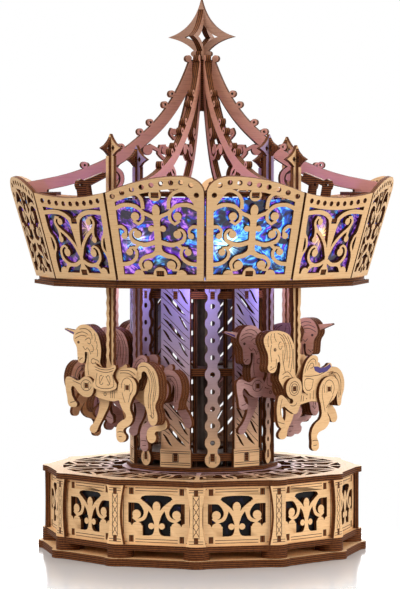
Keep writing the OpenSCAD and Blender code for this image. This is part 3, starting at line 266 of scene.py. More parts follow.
def bump(tree, height, strength, distance):
    """The surface normal raised by the height."""
    inputs = {"Height": height, "Strength": strength, "Distance": distance}
    return add_node(tree, "ShaderNodeBump", inputs).outputs["Normal"]


def scaled(colour, factor):
    """A colour made darker or lighter."""
    return tuple(min(1, part * factor) for part in colour[:3]) + (1.0,)


def wood_face(name, light, dark):
    """Bare birch face: long fine grain, pores, cloudy patches and a tone for each piece."""
    material, tree, shader = empty_material(name)
    place = sheet_place(tree)
    along = mapped(tree, place, (90, 1500, 1))
    grain = noise(tree, along, 1.0, 7, Roughness=0.62)
    wood = ramp(tree, grain, [(0.25, dark), (0.5, scaled(light, 0.95)), (0.72, light)])
    pores = remap(tree, noise(tree, along, 2.4, 3), (0.62, 0.74), (0.0, 0.5))
    wood = blend(tree, pores, wood, scaled(dark, 0.62), "MULTIPLY")
    patches = noise(tree, place, 55.0, 2)
    cloudy = compute(tree, "MULTIPLY_ADD", patches, 0.55, attribute(tree, "tone", "Fac"))
    value = remap(tree, cloudy, (0.1, 1.4), (0.88, 1.1))
    toned = add_node(tree, "ShaderNodeHueSaturation", {"Color": wood, "Value": value})
    set_inputs(shader, {
        "Base Color": toned.outputs["Color"], "Specular IOR Level": 0.35,
        "Roughness": remap(tree, grain, (0.0, 1.0), (0.48, 0.68)),
        "Normal": bump(tree, grain, 0.18, 0.06 * MM)})
    return material


def wood_edge(name, dark, light):
    """Laser-burnt cut edge: dark, with the lighter core of each veneer showing as a line."""
    material, tree, shader = empty_material(name)
    place = sheet_place(tree)
    inputs = {"Vector": place, "Scale": 2 * math.pi / 20 / VENEER, "Distortion": 0.35,
        "Detail": 2, "Detail Scale": 3.0}
    layers = add_node(
        tree, "ShaderNodeTexWave", inputs, bands_direction="Y", wave_profile="SIN").outputs["Fac"]
    burnt = compute(tree, "MULTIPLY", layers, noise(tree, place, 420.0, 5))
    set_inputs(shader, {
        "Base Color": ramp(tree, burnt, [(0.08, dark), (0.42, scaled(light, 0.8)), (0.66, light)]),
        "Roughness": 0.75, "Specular IOR Level": 0.15, "Normal": bump(tree, burnt, 0.3, 0.08 * MM)})
    return material


def metal(name, colour, roughness, streaks):
    """Satin metal with fine brushed streaks and a little tarnish."""
    material, tree, shader = empty_material(name)
    place = object_place(tree)
    brushed = noise(tree, mapped(tree, place, streaks), 40.0, 6)
    tarnish = noise(tree, place, 160.0, 3)
    set_inputs(shader, {
        "Base Color": ramp(tree, tarnish, [(0.3, scaled(colour, 0.7)), (0.65, colour)]),
        "Roughness": remap(tree, brushed, (0.0, 1.0), (roughness * 0.7, roughness * 1.3)),
        "Metallic": 1.0, "Normal": bump(tree, brushed, 0.08, 0.03 * MM)})
    return material


def speckled(name, scale, detail, stops, inputs, distortion=0.0):
    """A material whose colour follows noise, with its tree, shader, noise and colour outputs."""
    material, tree, shader = empty_material(name)
    grain = noise(tree, object_place(tree), scale, detail, Distortion=distortion)
    colours = ramp(tree, grain, stops)
    set_inputs(shader, {"Base Color": colours, **inputs})
    return material, tree, shader, grain, colours


def plastic(name, colour, roughness):
    """Moulded plastic with a very fine grain."""
    stops = [(0.3, scaled(colour, 0.9)), (0.7, colour)]
    material, tree, shader, grain, _ = speckled(name, 1800.0, 3, stops, {"Roughness": roughness})
    set_inputs(shader, {"Normal": bump(tree, grain, 0.1, 0.03 * MM)})
    return material


def burnt_line(name, colour):
    """Dull smoky brown of an engraved line."""
    stops = [(0.35, colour), (0.7, scaled(colour, 1.9))]
    return speckled(name, 700.0, 3, stops, {"Roughness": 0.8})[0]


def lit_strip(name):
    """White strip of lamps with brighter spots."""
    stops = [(0.3, srgb(150, 170, 255)), (0.7, srgb(235, 240, 255))]
    material, _, shader, _, colours = speckled(name, 300.0, 2, stops, {"Emission Strength": 1.2})
    set_inputs(shader, {"Emission Color": colours})
    return material


def lit_film(name, strength):
    """Crumpled iridescent film, with the light of lamps behind it painted on as emission.

    The face attribute "light" holds a film's hue, the brightness of its painted glow and the warmth
    of its painted glint, and "flare" holds the place of its brightest painted glint on the sheet and
    how strong that is.
    """
    material, tree, shader = empty_material(name)
    place = sheet_place(tree)
    hue, brightness, warmth = split(tree, attribute(tree, "light", "Vector"))
    glint_u, glint_v, glint = split(tree, attribute(tree, "flare", "Vector"))
    inputs = {0: (0.9, 1.7, 2.3), "Scale": attribute(tree, "tone", "Fac")}
    shift = add_node(tree, "ShaderNodeVectorMath", inputs, operation="SCALE").outputs[0]
    moved = vector(tree, "ADD", place, shift)

    swirl = noise(tree, moved, 84.0, 3.0, Roughness=0.5, Distortion=2.4)
    colours = ramp(tree, compute(tree, "MULTIPLY_ADD", hue, 0.26, swirl), [
        (0.4, srgb(34, 12, 70)), (0.5, srgb(92, 34, 168)), (0.56, srgb(196, 130, 226)),
        (0.6, srgb(110, 48, 190)), (0.65, srgb(40, 34, 160)), (0.7, srgb(26, 92, 226)),
        (0.76, srgb(110, 206, 250)), (0.8, srgb(30, 90, 210)), (0.9, srgb(16, 24, 96))])
    # Painted glow: patches where light from behind seems to come through, given as emission
    painted_glow_noise = noise(tree, moved, 120.0, 2.5, Distortion=1.2)
    lit = remap(tree, painted_glow_noise, (0.42, 0.58), (0.03, 1.0), "SMOOTHSTEP")
    glow = compute(tree, "MULTIPLY", lit, brightness)

    # Painted glint: a starburst of emission round the flare's place
    centre = add_node(tree, "ShaderNodeCombineXYZ", {"X": glint_u, "Y": glint_v}).outputs[0]
    offset = vector(tree, "SUBTRACT", place, centre)
    away = vector(tree, "LENGTH", offset)
    halo = remap(tree, away, (10 * MM, 0.3 * MM), (0.0, 1.0), "SMOOTHERSTEP")
    across, up, _ = split(tree, offset)
    inputs = {"W": compute(tree, "ARCTAN2", up, across), "Scale": 5.5, "Detail": 2}
    rays = add_node(tree, "ShaderNodeTexNoise", inputs, noise_dimensions="1D").outputs["Fac"]
    burst = compute(tree, "MULTIPLY", halo, remap(tree, rays, (0.4, 0.66), (0.2, 1.8)))
    flare = compute(tree, "MULTIPLY", burst, glint)

    glint_colour = blend(tree, warmth, srgb(176, 232, 255), srgb(255, 206, 120))
    bright = blend(tree, flare, colours, glint_colour)
    total = compute(tree, "MULTIPLY_ADD", flare, 1.6, glow)
    set_inputs(shader, {
        "Base Color": blend(tree, glow, srgb(22, 12, 24), bright), "Emission Color": bright,
        "Emission Strength": compute(tree, "MULTIPLY", total, strength),
        "Roughness": 0.22, "Coat Weight": 0.4})
    return material


def dark_film(name):
    """Black glossy film with faint painted blue glints."""
    # The two bluish stops are painted glints
    stops = [(0.56, srgb(9, 5, 6)), (0.68, srgb(22, 18, 44)), (0.76, srgb(60, 60, 130))]
    gloss = {"Roughness": 0.34, "Specular IOR Level": 0.14}
    return speckled(name, 150.0, 3, stops, gloss, distortion=1.5)[0]


def tinted(material, name, axis, near, far, colour, most):
    """A copy of a wood material with coloured light on it, strongest at near and gone at far.

    The light depends on the height (axis "Z") or on the distance from the mast (axis "R").
    """
    copy = material.copy()
    copy.name = name
    tree = copy.node_tree
    shader = next(node for node in tree.nodes if node.type == "BSDF_PRINCIPLED")
    bare = shader.inputs["Base Color"].links[0].from_socket
    place = object_place(tree)
    if axis == "Z":
        measured = split(tree, place)["Z"]
    else:
        measured = vector(tree, "LENGTH", vector(tree, "MULTIPLY", place, (1, 1, 0)))
    amount = remap(tree, measured, (near * MM, far * MM), (most, 0.0), "SMOOTHSTEP")
    set_inputs(shader, {"Base Color": blend(tree, amount, bare, colour)})
    return copy


def dress(node, material):
    """Gives a CAD node its finish without touching its shape."""
    mesh = frame["nodes"][node].data
    mesh.materials.clear()
    mesh.materials.append(material)


# Modelling helpers

def select_only(piece):
    """Makes the piece the one selected and active object."""
    if bpy.context.mode != "OBJECT":
        bpy.ops.object.mode_set(mode="OBJECT")
    bpy.ops.object.select_all(action="DESELECT")
    piece.select_set(True)
    bpy.context.view_layer.objects.active = piece


@contextlib.contextmanager
def whole_mesh(piece):
    """Edit mode with the whole mesh of the piece selected."""
    select_only(piece)
    bpy.ops.object.mode_set(mode="EDIT")
    bpy.ops.mesh.select_all(action="SELECT")
    yield
    bpy.ops.object.mode_set(mode="OBJECT")


def duplicate(piece):
    """A second object with its own copy of the piece's mesh."""
    select_only(piece)
    bpy.ops.object.duplicate()
    return bpy.context.active_object


def joined(pieces):
    """The pieces as one object."""
    bpy.ops.object.select_all(action="DESELECT")
    for piece in pieces:
        piece.select_set(True)
    bpy.context.view_layer.objects.active = pieces[0]
    if len(pieces) > 1:
        bpy.ops.object.join()
    return bpy.context.active_object


def about_mast(out, turn, up):
    """The place out from the mast, turned about it in degrees, and up, in mm."""
    angle = math.radians(turn)
    return (out * MM * math.cos(angle), out * MM * math.sin(angle), up * MM)


def round_mast(place, first, count):
    """Evenly turned places (out, up, turn) round the mast, from the turn of the first."""
    return [(*place, first + 360 / count * i) for i in range(count)]


def into_scene(name, data, place, aim=None):
    """A new lamp or camera at the place, turned to aim if that is given."""
    piece = bpy.data.objects.new(name, data)
    piece.location = place
    if aim is not None:
        piece.rotation_euler = (aim - piece.location).to_track_quat("-Z", "Y").to_euler()
    bpy.context.scene.collection.objects.link(piece)
    return piece


def copy_of(node, name):
    """An unshaded copy of a CAD node's mesh with its corners merged and its flat faces whole."""
    piece = duplicate(frame["nodes"][node])
    piece.name = name
    piece.parent = None
    del piece["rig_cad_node"]
    piece.data.materials.clear()
    with whole_mesh(piece):
        bpy.ops.mesh.remove_doubles(threshold=MERGE)
        bpy.ops.mesh.dissolve_limited(angle_limit=FLAT_ANGLE)
    return piece


def solids_of(mesh):
    """For each face, the number of the separate solid that it belongs to."""
    parent = list(range(len(mesh.vertices)))

    def root(i):
        while parent[i] != i:
            parent[i] = parent[parent[i]]
            i = parent[i]
        return i

    for edge in mesh.edges:
        parent[root(edge.vertices[0])] = root(edge.vertices[1])
    numbers = {}
    roots = [root(face.vertices[0]) for face in mesh.polygons]
    return np.array([numbers.setdefault(number, len(numbers)) for number in roots])


def array_of(parts, name, width=1, kind=float):
    """A value of each part of a mesh, as an array with a row for each part."""
    values = np.empty(len(parts) * width, kind)
    parts.foreach_get(name, values)
    return values.reshape(-1, width) if width > 1 else values


def face_arrays(mesh):
    """Normal, area and centre of each face."""
    faces = mesh.polygons
    return array_of(faces, "normal", 3), array_of(faces, "area"), array_of(faces, "center", 3)


def sheet_normals(mesh):
    """For each face, its solid's number and the direction through the thickness of its sheet."""
    normals, areas, _ = face_arrays(mesh)
    solids = solids_of(mesh)
    directions = np.zeros_like(normals)
    for number in range(solids.max() + 1):
        own = np.where(solids == number)[0]
        totals = {}
        for i in own:
            axis = int(np.argmax(np.abs(normals[i])))
            key = tuple(np.round(normals[i] * np.sign(normals[i][axis]), 2))
            totals[key] = totals.get(key, 0) + areas[i]
        best = np.array(max(totals, key=totals.get))
        best /= np.linalg.norm(best)
        close = own[np.abs(normals[own] @ best) > 0.99]
        signs = np.sign(normals[close] @ best)
        exact = (normals[close] * signs[:, None] * areas[close][:, None]).sum(0)
        directions[own] = exact / np.linalg.norm(exact)
    return solids, directions


def crossed_normals(mesh, centre, first, second, thickness):
    """Sheet direction of each face of two sheets that cross on an upright axis through centre."""
    _, _, centres = face_arrays(mesh)
    depth = (centres - np.array(centre)) @ np.array(first)
    main = np.abs(depth) < thickness / 2 + 0.02 * MM
    return np.where(main[:, None], np.array(first), np.array(second))


def lay_out(mesh, solids, directions):
    """Gives the mesh a map along its sheets and a tone for each solid."""
    normals, _, _ = face_arrays(mesh)
    flat = np.abs((normals * directions).sum(1)) > 0.9
    up = np.tile([0.0, 0.0, 1.0], (len(normals), 1))
    up[np.abs(directions[:, 2]) > 0.9] = (1.0, 0.0, 0.0)
    along = np.cross(up, directions)
    along /= np.linalg.norm(along, axis=1)[:, None]
    across = np.cross(directions, along)
    wall_along = np.cross(directions, normals)
    wall_along /= np.maximum(np.linalg.norm(wall_along, axis=1), 1e-9)[:, None]
    first = np.where(flat[:, None], along, wall_along)
    second = np.where(flat[:, None], across, directions)

    points = array_of(mesh.vertices, "co", 3)[array_of(mesh.loops, "vertex_index", kind=int)]
    totals = array_of(mesh.polygons, "loop_total", kind=int)
    face_of = np.repeat(np.arange(len(totals)), totals)
    middles = np.array([points[solids[face_of] == n].mean(0) for n in range(solids.max() + 1)])
    points = points - middles[solids[face_of]]
    layer = mesh.uv_layers.new(name="sheet")
    pairs = np.stack([(points * first[face_of]).sum(1), (points * second[face_of]).sum(1)], 1)
    layer.data.foreach_set("uv", pairs.astype(np.float32).ravel())
    tone = mesh.attributes.new("tone", "FLOAT", "FACE")
    tone.data.foreach_set("value", ((solids * 0.618 + 0.31) % 1.0).astype(np.float32))
    return flat


def curve_edges(mesh, directions):
    """The edges through the sheet where a curved cut bends, without its real corners."""
    normals, _, _ = face_arrays(mesh)
    wall = np.abs((normals * directions).sum(1)) < 0.2
    beside = {}
    for face in mesh.polygons:
        for key in face.edge_keys:
            beside.setdefault(key, []).append(face.index)
    low, high = math.cos(math.radians(66)), math.cos(math.radians(4))
    chosen = []
    for edge in mesh.edges:
        faces = beside.get(edge.key, [])
        if len(faces) == 2 and wall[faces[0]] and wall[faces[1]]:
            if low < float(normals[faces[0]] @ normals[faces[1]]) < high:
                chosen.append(edge.index)
    return chosen


def select_parts(piece, mode, indices):
    """Selects these edges or faces of the piece and leaves it in edit mode."""
    select_only(piece)
    bpy.ops.object.mode_set(mode="EDIT")
    bpy.ops.mesh.select_mode(type=mode)
    bpy.ops.mesh.select_all(action="DESELECT")
    bpy.ops.object.mode_set(mode="OBJECT")
    parts = piece.data.edges if mode == "EDGE" else piece.data.polygons
    for index in indices:
        parts[int(index)].select = True
    bpy.ops.object.mode_set(mode="EDIT")


def bevel_curves(piece, directions, share):
    """Rounds the facets of the curved cuts."""
    chosen = curve_edges(piece.data, directions)
    if chosen:
        select_parts(piece, "EDGE", chosen)
        bpy.ops.mesh.bevel(offset_type="PERCENT", offset_pct=share, segments=2, profile=0.5,
            affect="EDGES", clamp_overlap=True)
        bpy.ops.object.mode_set(mode="OBJECT")


def round_sheet(piece, share):
    """Rounds the cuts of flat sheets.

    The flat faces come off, the curves of the walls are rounded, and the faces are filled again.
    """
    mesh = piece.data
    _, directions = sheet_normals(mesh)
    normals, _, centres = face_arrays(mesh)
    flat = np.abs((normals * directions).sum(1)) > 0.9
    planes = {}
    for i in np.where(flat)[0]:
        offset = float(centres[i] @ directions[i])
        planes.setdefault((*np.round(directions[i], 3), round(offset, 6)), (directions[i], offset))
    select_parts(piece, "FACE", np.where(flat)[0])
    bpy.ops.mesh.delete(type="FACE")
    bpy.ops.mesh.select_all(action="SELECT")
    bpy.ops.mesh.dissolve_limited(angle_limit=FLAT_ANGLE)
    bpy.ops.object.mode_set(mode="OBJECT")
    bevel_curves(piece, sheet_normals_of_walls(mesh, planes), share)

    ends = array_of(mesh.edges, "vertices", 2, int)
    places = array_of(mesh.vertices, "co", 3)
    used = {}
    for face in mesh.polygons:
        for key in face.edge_keys:
            used[key] = used.get(key, 0) + 1
    open_edges = np.array([used.get(edge.key, 0) == 1 for edge in mesh.edges])
    for direction, offset in planes.values():
        near = np.abs(places @ direction - offset) < MERGE
        select_parts(piece, "EDGE", np.where(open_edges & near[ends[:, 0]] & near[ends[:, 1]])[0])
        bpy.ops.mesh.fill(use_beauty=False)
        bpy.ops.object.mode_set(mode="OBJECT")
        new = len(mesh.edges) - len(ends)
        open_edges = np.concatenate([open_edges, np.zeros(new, bool)])
        ends = np.concatenate([ends, np.zeros((new, 2), int)])
    with whole_mesh(piece):
        bpy.ops.mesh.normals_make_consistent(inside=False)


def sheet_normals_of_walls(mesh, planes):
    """For each wall face, the sheet direction that it runs along."""
    normals, _, centres = face_arrays(mesh)
    directions = np.array([direction for direction, _ in planes.values()])
    offsets = np.array([offset for _, offset in planes.values()])
    away = np.abs(centres @ directions.T - offsets) + 10 * (np.abs(normals @ directions.T) > 0.05)
    return directions[np.argmin(away, 1)]


def finish_sheets(piece, materials, crossing=None):
    """Gives flat faces the first material and cut edges the second, and lays out their maps."""
    mesh = piece.data
    for material in materials:
        mesh.materials.append(material)
    solids, directions = sheet_normals(mesh)
    if crossing:
        directions = crossed_normals(mesh, *crossing)
    flat = lay_out(mesh, solids, directions)
    for face in mesh.polygons:
        face.material_index = 0 if flat[face.index] else 1
    select_only(piece)
    bpy.ops.object.shade_smooth_by_angle(angle=SMOOTH_ANGLE)


def plywood_piece(node, materials, crossing=None, rounding=None, flat_sheets=True):
    """A plywood node with rounded curves, light faces and burnt edges."""
    piece = copy_of(node, node + "_finished")
    if rounding and flat_sheets:
        round_sheet(piece, rounding)
    elif rounding:
        _, directions = sheet_normals(piece.data)
        if crossing:
            directions = crossed_normals(piece.data, *crossing)
        bevel_curves(piece, directions, rounding)
    finish_sheets(piece, materials, crossing)
    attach(piece, BODY_OF[node])
    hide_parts(node)
    return piece


def plate(outlines, x0, x1):
    """A flat plate from x0 to x1 with outlines in mm; an outline inside another is a hole."""
    bpy.ops.object.select_all(action="DESELECT")
    bpy.ops.curve.primitive_bezier_circle_add(location=(0, 0, 0))
    drawing = bpy.context.active_object
    curve = drawing.data
    curve.splines.clear()
    curve.dimensions = "2D"
    curve.fill_mode = "BOTH"
    curve.resolution_u = 4
    for outline, smooth in outlines:
        spline = curve.splines.new("BEZIER")
        spline.bezier_points.add(len(outline) - 1)
        spline.use_cyclic_u = True
        for point, (u, v) in zip(spline.bezier_points, outline):
            point.co = (u * MM, v * MM, 0)
            point.handle_left_type = point.handle_right_type = "AUTO" if smooth else "VECTOR"
    curve.extrude = (x1 - x0) / 2 * MM
    drawing.location = ((x0 + x1) / 2 * MM, 0, 0)
    drawing.rotation_euler = (math.radians(90), 0, math.radians(90))
    select_only(drawing)
    bpy.ops.object.convert(target="MESH")
    bpy.ops.object.transform_apply(location=True, rotation=True, scale=True)
    piece = bpy.context.active_object
    with whole_mesh(piece):
        bpy.ops.mesh.remove_doubles(threshold=MERGE)
        bpy.ops.mesh.normals_make_consistent(inside=False)
    return piece


def layered_horse(shape):
    """One horse at the origin: three layers for the body, and plates for legs and saddle."""
    layers = []
    for middle in (-LAYER, 0, LAYER):
        for part in ("body", "tail"):
            layers.append(plate([(shape[part], True)], middle - HALF_LAYER, middle + HALF_LAYER))
    for (u, v), near, far in zip(shape["pegs"], shape["near"], shape["far"]):
        slot = corners(u, v, HALF_SLOT, HALF_SLOT)
        layers.append(plate([(near, True), (slot, False)], LEG_LAYER, HALF_HORSE))
        layers.append(plate([(far, True), (slot, False)], -HALF_HORSE, -LEG_LAYER))
        peg = [(a * 0.96 + u * 0.04, b * 0.96 + v * 0.04) for a, b in slot]
        layers.append(plate([(peg, False)], -HALF_PEG, HALF_PEG))
    for x0, x1 in ((LEG_LAYER, HALF_HORSE), (-HALF_HORSE, -LEG_LAYER)):
        layers.append(plate([(shape["saddle"], True)], x0, x1))
    if shape["horn"]:
        layers.append(plate([(shape["horn"], False)], -HALF_LAYER, HALF_LAYER))
    return joined(layers)


def put_at(drawing, name, material, body, places):
    """Copies the drawing to each place (x, z, turn) and joins the copies into one piece.

    A place is moved out by x and up by z in mm, and turned about the mast in degrees.
    """
    made = []
    for x, z, turn in places:
        drawn = duplicate(drawing)
        drawn.location = about_mast(x, turn, z)
        drawn.rotation_euler = (0, 0, math.radians(turn))
        made.append(drawn)
    select_only(drawing)
    bpy.ops.object.delete()
    piece = joined(made)
    bpy.ops.object.transform_apply(location=True, rotation=True, scale=True)
    piece.name = name
    piece.data.materials.clear()
    piece.data.materials.append(material)
    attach(piece, body)
    return piece


def engraved(name, strokes, width, material, body, places):
    """Engraved lines as one flat piece: drawn once in the plane x = 0, then put at each place."""
    bpy.ops.object.select_all(action="DESELECT")
    bpy.ops.curve.primitive_nurbs_path_add(location=(0, 0, 0))
    drawing = bpy.context.active_object
    drawing.name = name
    curve = drawing.data
    curve.splines.clear()
    curve.dimensions = "3D"
    for stroke in strokes:
        spline = curve.splines.new("NURBS")
        spline.points.add(len(stroke) - 1)
        for point, (u, v) in zip(spline.points, stroke):
            point.co = (0, u * MM, v * MM, 1)
        spline.order_u = min(3, len(stroke))
        spline.use_endpoint_u = True
        spline.resolution_u = 3
    curve.bevel_depth = width / 2
    curve.bevel_resolution = 0
    curve.use_fill_caps = True
    select_only(drawing)
    bpy.ops.object.convert(target="MESH")
    with whole_mesh(drawing):
        bpy.ops.transform.resize(value=(0.2, 1, 1), center_override=(0, 0, 0))
    return put_at(drawing, name, material, body, places)


def patch(name, outline, material, body, places, thick=0.05):
    """A thin flat patch with the outline, put at each place like engraved()."""
    bpy.ops.object.select_all(action="DESELECT")
    bpy.ops.mesh.primitive_circle_add(
        vertices=len(outline), radius=MM, fill_type="NGON", location=(0, 0, 0))
    drawing = bpy.context.active_object
    for vertex, (u, v) in zip(drawing.data.vertices, outline):
        vertex.co = (0, u * MM, v * MM)
    with whole_mesh(drawing):
        bpy.ops.mesh.extrude_region_move(TRANSFORM_OT_translate={"value": (thick * MM, 0, 0)})
        bpy.ops.mesh.select_all(action="SELECT")
        bpy.ops.mesh.normals_make_consistent(inside=False)
    return put_at(drawing, name, material, body, places)


def flipped(strokes):
    """The strokes seen from the other side of the sheet."""
    return [[(-u, v) for u, v in stroke] for stroke in strokes]


def ring(u, v, across, up, start=0, sweep=360, count=12):
    """A round or oval stroke, or a part of one."""
    angles = [math.radians(start + sweep * i / count) for i in range(count + 1)]
    return [(u + across * math.cos(a), v + up * math.sin(a)) for a in angles]


def dot(u, v, radius):
    """A filled round mark, as a small ring that closes on itself."""
    return ring(u, v, radius * 0.5, radius * 0.5, count=6)


def corners(u, v, across, up):
    """The corners of a rectangle about its middle."""
    return [(u + a * across, v + b * up) for a, b in ((-1, -1), (1, -1), (1, 1), (-1, 1))]


def box_line(u, v, across, up):
    """A rectangle drawn as four strokes about its middle."""
    ends = corners(u, v, across, up)
    return [[ends[i], ends[(i + 1) % 4]] for i in range(4)]


def peg_marks(u, v):
    """The lines burnt round a square peg."""
    return [[(u + d, v - 1.9), (u + d, v + 1.9)] for d in (-1.75, 1.75)]


# Outlines of the horses' layers, in mm

UNICORN = {
    "body": [
        (-24.6, 54.4), (-25.3, 51), (-22.8, 47), (-22.2, 42.9), (-21.6, 39.8), (-19.2, 38.8),
        (-17, 39.8), (-15.8, 45), (-15.4, 40.4), (-16.6, 36.7), (-16.2, 31.6), (-13.4, 26),
        (-9, 22.4), (-4.1, 21.1), (8.8, 21.1), (14, 25), (21.6, 27.4), (23, 33), (21, 37.2),
        (16, 38), (10, 36.9), (0, 36.6), (-5, 38.8), (-4.8, 42.9), (-4.6, 46.6), (-5.4, 50.4),
        (-7.2, 54.1), (-10.2, 56.6), (-13.6, 58.5), (-17.9, 58.9), (-21.8, 57.6)],
    "tail": [
        (22, 36.8), (22.8, 39.5), (25, 41), (28, 41.2), (31.8, 39.8), (35.5, 36.4), (37.2, 31),
        (37, 24), (34.8, 19.3), (36.2, 15), (36, 11.4), (33, 9.4), (30.2, 11.4), (29, 15.6),
        (27, 20.5), (27.2, 27.4), (29.4, 33), (27.8, 36.4), (25.4, 36.2), (24.6, 33.2), (22, 32)],
    "saddle": [
        (-8.2, 38.8), (-4, 37.6), (0.2, 37.2), (4.4, 37.6), (8.2, 38.8), (6.2, 33.6), (9, 28),
        (5.4, 26), (0.2, 25.4), (-4.8, 25.8), (-8.4, 27.6), (-6.2, 33.6)],
    "near": [[
        (-15, 32), (-19.5, 29.8), (-25, 31.4), (-28.6, 31), (-29.2, 27), (-27.9, 21), (-26.6, 16.6),
        (-23.5, 15.9), (-20.4, 17.2), (-22.6, 19.8), (-24.3, 22.4), (-24, 26.8), (-22.2, 26.2),
        (-19, 23.4), (-13.5, 21.6), (-9.3, 23), (-8.2, 28), (-10.4, 31.4)], [
        (16.6, 33.6), (11.8, 32), (9.9, 28), (10.4, 22), (13, 16.8), (15.8, 13.2), (12, 10.6),
        (9.2, 8.2), (8.6, 4.6), (9.8, 0.4), (14, 0.3), (15.9, 2.8), (13.8, 5.8), (18.4, 9),
        (20.6, 12.4), (18.6, 17.6), (20.2, 22.4), (23.2, 26.6), (22.4, 31.6)]],
    "far": [[
        (-13.6, 32.6), (-17.8, 31), (-18.8, 27.6), (-17, 24), (-12.6, 20.4), (-12.4, 15), (-16, 8),
        (-19.4, 4.4), (-18.2, 2.6), (-14.6, 3), (-12.6, 6), (-8.4, 12), (-4.8, 18.6), (-5, 22.6),
        (-8.2, 26), (-9, 30.6)], [
        (17, 33.4), (12, 31), (11, 26.4), (14.6, 22), (21, 18.4), (26.6, 13.4), (32, 9.8),
        (28.4, 8.6), (24.2, 7.2), (22.6, 3.8), (24, 0.4), (28, 0.3), (29.4, 3), (28.4, 4.9),
        (33, 6.4), (37.2, 8.6), (36.2, 12.2), (31, 15.6), (25.6, 20.8), (23.6, 26), (22.4, 31.4)]],
    "pegs": [(-13.4, 27.6), (16.6, 28)],
    "horn": [(-22, 55.2), (-24.2, 52), (-34, 55.6), (-33.8, 56.4)],
}
PONY = {
    "body": [
        (-24.6, 61.6), (-27.2, 58.8), (-26.2, 54.7), (-24.2, 51), (-23.8, 46.6), (-24.2, 43.2),
        (-21.4, 41.3), (-18.4, 42.2), (-15.8, 46.8), (-15.2, 42), (-16, 38.4), (-13.2, 34),
        (-9.8, 27.6), (-4.6, 23.6), (3, 24.4), (9.2, 25.2), (18, 24.4), (25.6, 27.6), (28.4, 34.2),
        (26.4, 39.8), (22.6, 39.6), (16, 37.6), (8, 36.8), (0, 36.6), (-3.6, 40), (-3.8, 46.6),
        (-3.8, 50.4), (-4.4, 54), (-5.8, 57.4), (-8, 60), (-12, 61.8), (-19.6, 62.7)],
    "tail": [
        (22.6, 40.4), (26.5, 42.2), (31, 40.8), (34.2, 36.6), (34.7, 31), (33, 26.4), (30.8, 21.6),
        (29, 25.4), (29.8, 30), (29.4, 34), (27, 36.2), (24, 36)],
    "saddle": [
        (0.4, 40.4), (1.6, 44), (4.4, 47.6), (8.4, 49.2), (11.8, 47.6), (11.8, 44.4), (14, 42.6),
        (17.8, 43), (21.4, 44.6), (22.6, 42.4), (19, 39.6), (12.4, 37.2), (9, 34.2), (8.4, 31),
        (4.8, 29.6), (1, 31), (0, 35)],
    "near": [[
        (-6.4, 38.2), (-11, 36.6), (-12.6, 32.6), (-10.4, 28.4), (-7.2, 26.6), (-8.4, 25),
        (-13, 28.2), (-17.2, 29.8), (-19.2, 26), (-19.3, 18.4), (-17.2, 13.4), (-13.6, 12.8),
        (-13.2, 15.4), (-15.6, 18.8), (-15.4, 23.6), (-10, 21.4), (-5.2, 19.6), (-2.8, 22),
        (-1, 29), (-0.6, 33.6), (-2.4, 37)], [
        (20.6, 37.6), (15, 35), (12.6, 29), (14.4, 22), (14.4, 17), (9, 13), (6.9, 9.4), (7, 4.6),
        (7.6, 0.4), (12, 0.3), (12.6, 3.4), (11.2, 7.4), (18.6, 11.2), (21, 14.8), (19.2, 18.8),
        (19.8, 22.4), (25, 26.4), (27.6, 31), (26, 36)]],
    "far": [[
        (-6.4, 38.2), (-11, 36.6), (-12.6, 32.6), (-9.6, 28), (-5.4, 23.6), (-4, 18.6), (-7, 12),
        (-9.6, 8.4), (-8, 6.4), (-3.8, 7), (-2.6, 10.6), (1.4, 17), (2.4, 23.4), (0.2, 29),
        (-0.6, 33.6), (-2.4, 37)], [
        (20.6, 37.6), (15, 35), (12.8, 29.6), (16, 25.4), (22.4, 23.6), (27, 19.4), (30.2, 15.6),
        (32, 12.8), (35.6, 13.4), (35.4, 17.6), (31.6, 22.4), (28.8, 27.6), (27.6, 32), (26, 36)]],
    "pegs": [(-6.2, 32.6), (20.6, 31)],
    "horn": None,
}

# Engravings, drawn in mm on the flat sheets

PANEL_LINES = (
    [[(-11.2, v), (11.2, v)] for v in (1.3, 2.7, 27.3, 28.7)]
    + [[(s * 15.6, v), (s * 18.4, v)] for s in (-1, 1) for v in (1.3, 28.7)]
    + [[(s * 17.6, 5), (s * 17.6, 25)] for s in (-1, 1)])
PILASTER_LINES = (
    [[(s * 1.5, 4), (s * 1.5, 26)] for s in (-1, 1)]
    + [[(s * 1.5, 5 + 5 * i), (-s * 1.5, 10 + 5 * i)] for i in range(4) for s in (-1, 1)]
    + [[(-3.6, v), (3.6, v)] for v in (1.4, 2.6, 27.4, 28.6)])

